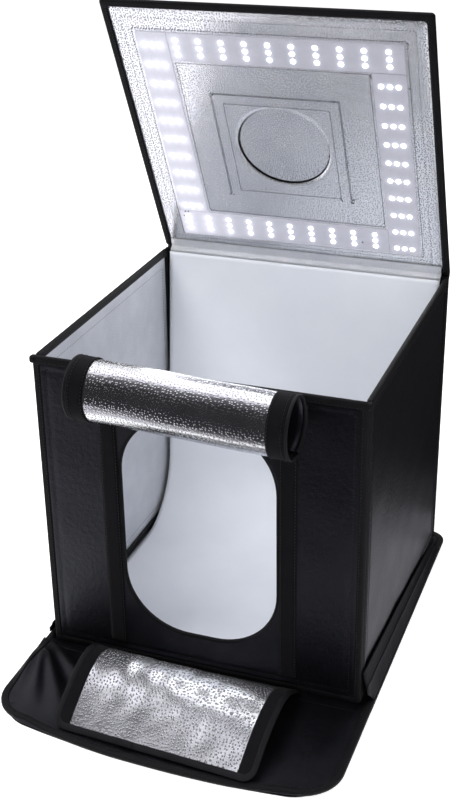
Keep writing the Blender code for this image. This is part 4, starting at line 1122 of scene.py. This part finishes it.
def makeLedFilm():
    # a ring of film: flat over the boards with soft ripples, turned down to the lining at both edges; its
    # glow is base + peak exp(-(distance to the nearest light / spread)^2), stronger toward the left
    look, centre = lights, lights["centre"]
    outer, inner = look["reach"] + look["filmMargin"], look["reach"] - look["width"] - look["filmMargin"]
    rows, glows = [], []
    for share in (0, *np.linspace(0.02, 0.98, 26), 1):
        reach = outer + (inner - outer) * share
        line = roundedRectangle(-reach, reach, centre - reach, centre + reach, 0.002, 4, 190)
        x, along = line.T
        over = 0 < share < 1
        wave = ripples(x, along, 101, look["filmWave"], look["filmRipple"])
        level = look["filmLevel"] + wave if over else look["filmEdge"]
        rows.append(onLid(x, along, level))
        away = np.linalg.norm(line[:, None] - leds[None], axis=2).min(1)
        lean = np.clip((look["glowLeft"][0] - x) / look["glowLeft"][1], 0, 1) ** 3
        base, peak, spread = (look[key][0] + (look[key][1] - look[key][0]) * lean
                              for key in ("glowBase", "glowPeak", "glowSpread"))
        base = base + look["glowRise"] * np.clip((look["glowFront"][0] - along) / look["glowFront"][1], 0, 1)
        glows.append((base + peak * np.exp(-(away / spread) ** 2)) * (1 if over else look["edgeGlow"]))
    thing = gridPiece("ledFilm", rows, clearFilm, ring=True, fields={"glow": np.array(glows)})
    settle(faceToward(thing, -lid["out"], 0.5), "lid", "clear_film", "led_film")


makeCaps()
refinish(solderMask, "led_board_front", "led_board_rear", "led_board_left", "led_board_right")
makeLedFilm()
lidSeams = (  # left, right, low, high of each stitched rectangle on the lining, and its first run
    (-0.084, 0.080, 0.111, 0.273, 1), (-0.0825, 0.0785, 0.111, 0.2715, 1), (-0.069, 0.066, 0.118, 0.258, 0))
threadEnds = (  # x, along, direction in degrees, length: cut threads at the corners of the stitched squares
    (-0.0820, 0.1110, 200, 0.006), (-0.0800, 0.1105, 250, 0.004), (0.0785, 0.1160, 300, 0.006),
    (0.0800, 0.1175, 10, 0.005), (0.0660, 0.1185, 280, 0.005), (-0.0798, 0.2690, 100, 0.004),
    (0.0722, 0.2717, 40, 0.003), (0.1210, 0.3160, 265, 0.007), (0.1562, 0.3185, 275, 0.007),
    (0.1645, 0.2995, 330, 0.003), (-0.1640, 0.0775, 265, 0.007), (-0.1322, 0.0745, 255, 0.007),
)
joints = ((-0.1552, 0.0728), (-0.1507, 0.0733), (-0.1582, 0.0651), (0.0881, 0.0484), (0.0866, 0.0318))
# sizes are pitch, length and radius
lidThread = dict(level=0.0007, size=(0.0036, 0.0028, 0.00036), endLevel=0.0004, curl=40,
                 endSize=(0.0022, 0.0026, 0.0005), jointHalf=0.0012, jointLevel=-0.0026,
                 jointSize=(0.0024, 0.0024, 0.0009))


def stitchLid():
    look, centre, inside = lidThread, lights["centre"], -lid["out"]
    ringOut = lights["reach"] + lights["seamGap"]
    ringIn = lights["reach"] - lights["width"] - lights["seamGap"]
    lines = []
    for left, right, low, high, first in (
            (-ringOut, ringOut, centre - ringOut, centre + ringOut, 0),
            (-ringIn, ringIn, centre - ringIn, centre + ringIn, 0), *lidSeams):
        runs = rectangleLines(left, right, low, high, 20, lambda x, y: onLid(x, y, look["level"]), inside)
        lines += runs[first:]
    settle(beads("lidLiningStitching", lines, greyThread, *look["size"]), "lid", "silver_film")
    lines = []
    for x, along, direction, length in threadEnds:
        run = np.linspace(0, length, 6)
        turn = radians(direction) + look["curl"] * run
        lines.append((onLid(x + run * np.cos(turn), along + run * np.sin(turn), look["endLevel"]), inside))
    settle(beads("threadEnds", lines, blackThread, *look["endSize"]), "lid", "silver_film")
    ends = np.array([-look["jointHalf"], look["jointHalf"]])
    lines = [(onLid(x + ends, along, look["jointLevel"]), inside) for x, along in joints]
    settle(beads("solderJoints", lines, solder, *look["jointSize"]), "lid", "circuit_board")


stitchLid()

# the flap over the camera port
portFlap = dict(half=0.085, rear=0.120, front=0.277, hook=0.0067, loop=0.0080, lining=0.0084, cover=0.0093,
                dome=0.0055, strip=0.0145, stripThick=0.0009, inset=0.003, rise=0.0008, edgeFall=0.0006,
                edgeWidth=0.004, thick=0.0008, liningThick=0.0005, shift=(0.0006, 0.0007),
                hemRear=0.1072, hemFront=0.1197, hemLevel=0.0066, pressEnd=0.981, pressOver=0.014,
                liningWave=(0.06, 0.0005), coverWave=(0.07, 0.0006))


def portGrid(stations, steps=200):
    # rings round the port's middle: a station up to 1 is a share of the port's radius, from 1 to 2 it runs on
    # from the port's edge to the flap's own straight edges
    look, angles = portFlap, circle(steps)
    way = np.column_stack([np.cos(angles), np.sin(angles)])
    room = np.where(way[:, 1] > 0, look["front"] - port["along"], port["along"] - look["rear"])
    room = room - look["inset"]
    limit = np.minimum((look["half"] - look["inset"]) / np.maximum(np.abs(way[:, 0]), 1e-6),
                       room / np.maximum(np.abs(way[:, 1]), 1e-6))
    stations = stations[:, None]
    reach = np.minimum(stations, 1) * port["radius"] + np.clip(stations - 1, 0, 1) * (limit - port["radius"])
    return reach * way[:, 0], port["along"] + reach * way[:, 1], reach


def portStrip(name, level, body, node):
    # a U of tape: its inner and outer edges run along the sides and the front
    look, width = portFlap, portFlap["strip"]
    outside, rear = look["half"] - look["inset"], look["rear"] + look["inset"]
    front = look["front"] - look["inset"]
    outer, inner = (readAt(np.array([(-side, rear), (-side, end), (side, end), (side, rear)]), np.arange(4),
                           np.linspace(0, 3, 91))
                    for side, end in ((outside, front), (outside - width, front - width)))
    across, along = np.moveaxis(outer + (inner - outer) * np.linspace(0, 1, 7)[:, None, None], -1, 0)
    thing = gridPiece(name, onLid(across, along, level), loopTape)
    settle(thicken(faceToward(thing, lid["out"]), look["stripThick"]), body, "hook_and_loop", node)


def makePortFlap():
    look, half = portFlap, portFlap["half"]
    stations = np.concatenate([np.linspace(0.002, 0.955, 30), [0.962, 0.968, 0.974, 0.980, 0.990],
                               np.linspace(1, 2, 12)])
    x, along, reach = portGrid(stations)
    # the lining is pressed into the port: dome x a smooth step just inside the port's edge
    pressed = look["dome"] * smoothStep((look["pressEnd"] * port["radius"] - reach)
                                        / (look["pressOver"] * port["radius"]))
    inPort = smoothStep(pressed / look["dome"])
    x, along = x + look["shift"][0] * inPort, along + look["shift"][1] * inPort
    level = look["lining"] - pressed + ripples(x, along, 111, *look["liningWave"]) * inPort
    lining = gridPiece("portFlapLining", onLid(x, along, level), film, ring=True, flat=(x, along))
    faceToward(reshape(lining, closeMiddle), -lid["out"], 1 / 3)
    settle(thicken(lining, look["liningThick"]), "port_flap", "silver_film", "port_cover_lining")
    x, along = np.meshgrid(np.linspace(-half, half, 90), np.linspace(look["rear"], look["front"], 84))
    edge = np.minimum(np.minimum(half - np.abs(x), along - look["rear"]), look["front"] - along)
    level = (look["cover"] + look["rise"] - look["edgeFall"] * np.exp(-(edge / look["edgeWidth"]) ** 2)
             + ripples(x, along, 112, *look["coverWave"]))
    cover = faceToward(gridPiece("portFlapCover", onLid(x, along, level), oxford), lid["out"])
    settle(thicken(cover, look["thick"]), "port_flap", "outer_fabric", "port_cover")
    portStrip("portHookStrip", look["hook"], "lid", "port_hook_strip")
    portStrip("portLoopStrip", look["loop"], "port_flap", "port_loop_strip")
    x, along = np.meshgrid(np.linspace(-half, half, 40), np.linspace(look["hemRear"], look["hemFront"], 5))
    hem = faceToward(gridPiece("portFlapHem", onLid(x, along, look["hemLevel"]), oxford), lid["out"])
    settle(thicken(hem, look["thick"]), "lid", "outer_fabric", "port_cover_hem")


makePortFlap()
refinish(inletPlastic, "dc_inlet_shell")
refinish(contact, "dc_inlet_pin")
print("lid made")

# floor, world and lamps
stage = dict(size=9.0, below=-0.0004, paper="#E6E6E6", paperGlow=0.72, worldDim=0.42,
             cardTint=(1, 0.985, 1.06, 1))
lamps = (  # place, aimed at, size in metres, watts
    ((-0.9, -1.0, 2.5), (0, 0, 0.2), 1.4, 53.0),
    ((1.6, -0.4, 2.1), (0, 0, 0.2), 1.0, 7.0),
    ((-0.4, 1.8, 1.8), (0, 0, 0.3), 1.2, 12.0),
    ((0.55, -1.5, 0.40), (0.0, 0.1, 0.08), 0.5, 7.5),
)
ringLight = dict(level=-0.012, size=0.30, power=0.52, glowSize=0.36, glowPower=1.6, colour=(0.97, 0.975, 1.0))


def seenRays(tree):
    # 1 for rays that come from the camera, a mirror-like surface or through a clear one, else 0
    path = addNode(tree, "LightPath", {})
    total = path.outputs["Is Camera Ray"]
    for key in ("Is Glossy Ray", "Is Transmission Ray"):
        total = addNode(tree, "Math", {0: total, 1: path.outputs[key]}, operation="MAXIMUM").outputs[0]
    return total


def bareMaterial(name):
    # a material whose main shader is taken out, because it only glows
    material = bpy.data.materials.new(name)
    material.use_nodes = True
    tree = material.node_tree
    tree.nodes.remove(tree.nodes["Principled BSDF"])
    return material, tree, tree.nodes["Material Output"]


def levelCorners(height, left, right, near, far):
    return [(left, near, height), (right, near, height), (right, far, height), (left, far, height)]


def uprightCorners(start, end, top):
    return [(*start, 0.0), (*end, 0.0), (*end, top), (*start, top)]


def stagePiece(name, corners, material):
    thing = meshPiece(name, corners, [(0, 1, 2, 3)], material)
    thing.data.shade_flat()
    return thing


def makeFloor():
    material, tree, output = bareMaterial("floor_paper_white")
    paper = addNode(tree, "BsdfDiffuse", {"Color": toLinear(stage["paper"])})
    share = addNode(tree, "Math", {0: seenRays(tree), 1: stage["paperGlow"]}, operation="MULTIPLY")
    bright = addNode(tree, "Emission", {"Color": (1, 1, 1, 1), "Strength": share.outputs[0]})
    both = addNode(tree, "AddShader", {0: paper.outputs[0], 1: bright.outputs[0]})
    feed(output, {"Surface": both.outputs[0]})
    size = stage["size"]
    stagePiece("floor", levelCorners(stage["below"], -size, size, -size, size), material)


def makeWorld():
    world = bpy.data.worlds.new("studio")
    bpy.context.scene.world = world
    world.use_nodes = True
    tree = world.node_tree
    level = addNode(tree, "MapRange", {"Value": seenRays(tree), "To Min": stage["worldDim"], "To Max": 1.0})
    feed(tree.nodes["Background"], {"Strength": level.outputs["Result"], "Color": (1, 1, 1, 1)})


def addLamp(name, place, goal, size, power):
    data = bpy.data.lights.new(name, "AREA")
    data.shape = "SQUARE"
    data.size = size
    data.energy = power
    thing = putInScene(name, data)
    thing.location = place
    thing.rotation_euler = (Vector(goal) - Vector(place)).to_track_quat("-Z", "Y").to_euler()
    thing.visible_glossy = False  # the cards and the world make the reflections
    return thing


def makeLamps():
    look = ringLight
    for number, lamp in enumerate(lamps):
        addLamp("softbox_%d" % number, *lamp)
    # the ring's own light, thrown down into the tent; it turns with the lid
    middle = onLid(0, lights["centre"], look["level"])
    ringLamp = addLamp("ringLight", middle, middle - lid["out"], look["size"], look["power"])
    ringLamp.data.color = look["colour"]
    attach(ringLamp, "lid")
    # what shines back from the silver film is the same ring, here as one soft square
    glowLamp = addLamp("ringGlow", middle, middle - lid["out"], look["glowSize"], look["glowPower"])
    glowLamp.visible_glossy, glowLamp.visible_diffuse = True, False
    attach(glowLamp, "lid")


low, high = 0.001, 4.2  # heights of the cards on the floor and overhead
# studio cards, seen only in reflections: corners and brightness; level ones give left, right, near, far
cards = (
    ("cardFront", uprightCorners((-4, -2.3), (4, -2.3), high), 0.03),
    ("cardFloorFront", levelCorners(low, -4, 4, -2.3, -0.80), 0.03),
    ("cardFloorCentre", levelCorners(low, -0.35, 4, -0.80, -0.60), 0.03),
    ("cardFloorMiddle", levelCorners(low, -0.15, 0.25, -0.60, -0.45), 0.18),
    ("cardFloorNear", levelCorners(low, -0.35, -0.15, -0.60, -0.42), 0.60),
    ("cardFloorLeft", levelCorners(low, -4, -0.35, -0.80, 4), 1.3),
    ("cardFloorCorner", levelCorners(low, 0.25, 1.2, -0.60, -0.15), 1.5),
    ("cardFloorBeside", levelCorners(low, 0.25, 0.40, -0.15, 0.19), 0.75),
    ("cardFloorUnder", levelCorners(low, 0.21, 0.25, -0.15, 0.19), 0.80),
    ("cardFloorFade", levelCorners(low, -0.35, 0.40, 0.19, 0.27), 0.46),
    ("cardFloorDim", levelCorners(low, -0.35, 0.40, 0.27, 0.38), 0.10),
    ("cardFloorRear", levelCorners(low, -0.35, 0.40, 0.38, 4), 0.02),
    ("cardFloorRight", levelCorners(low, 0.40, 4, -0.15, 4), 0.05),
    ("cardTopFront", levelCorners(high, -4, 4, -2.3, -0.60), 0.10),
    ("cardTopMiddle", levelCorners(high, -4, 4, -0.60, -0.05), 0.60),
    ("cardTopRear", levelCorners(high, -4, 4, -0.05, 3.2), 1.5),
    ("cardRear", uprightCorners((-4, 3.2), (4, 3.2), 2.2), 0.08),
    ("cardRight", uprightCorners((3.6, -2.3), (3.6, 3.2), 3.0), 0.15),
)


def makeCard(name, corners, brightness):
    material, tree, output = bareMaterial(name)
    glow = addNode(tree, "Emission", {"Color": stage["cardTint"], "Strength": brightness})
    feed(output, {"Surface": glow.outputs[0]})
    thing = stagePiece(name, corners, material)
    thing.visible_camera = thing.visible_diffuse = thing.visible_shadow = thing.visible_transmission = False


makeFloor()
makeWorld()
makeLamps()
for card in cards:
    makeCard(*card)
bpy.context.scene.view_settings.view_transform = "Standard"
print("stage made")
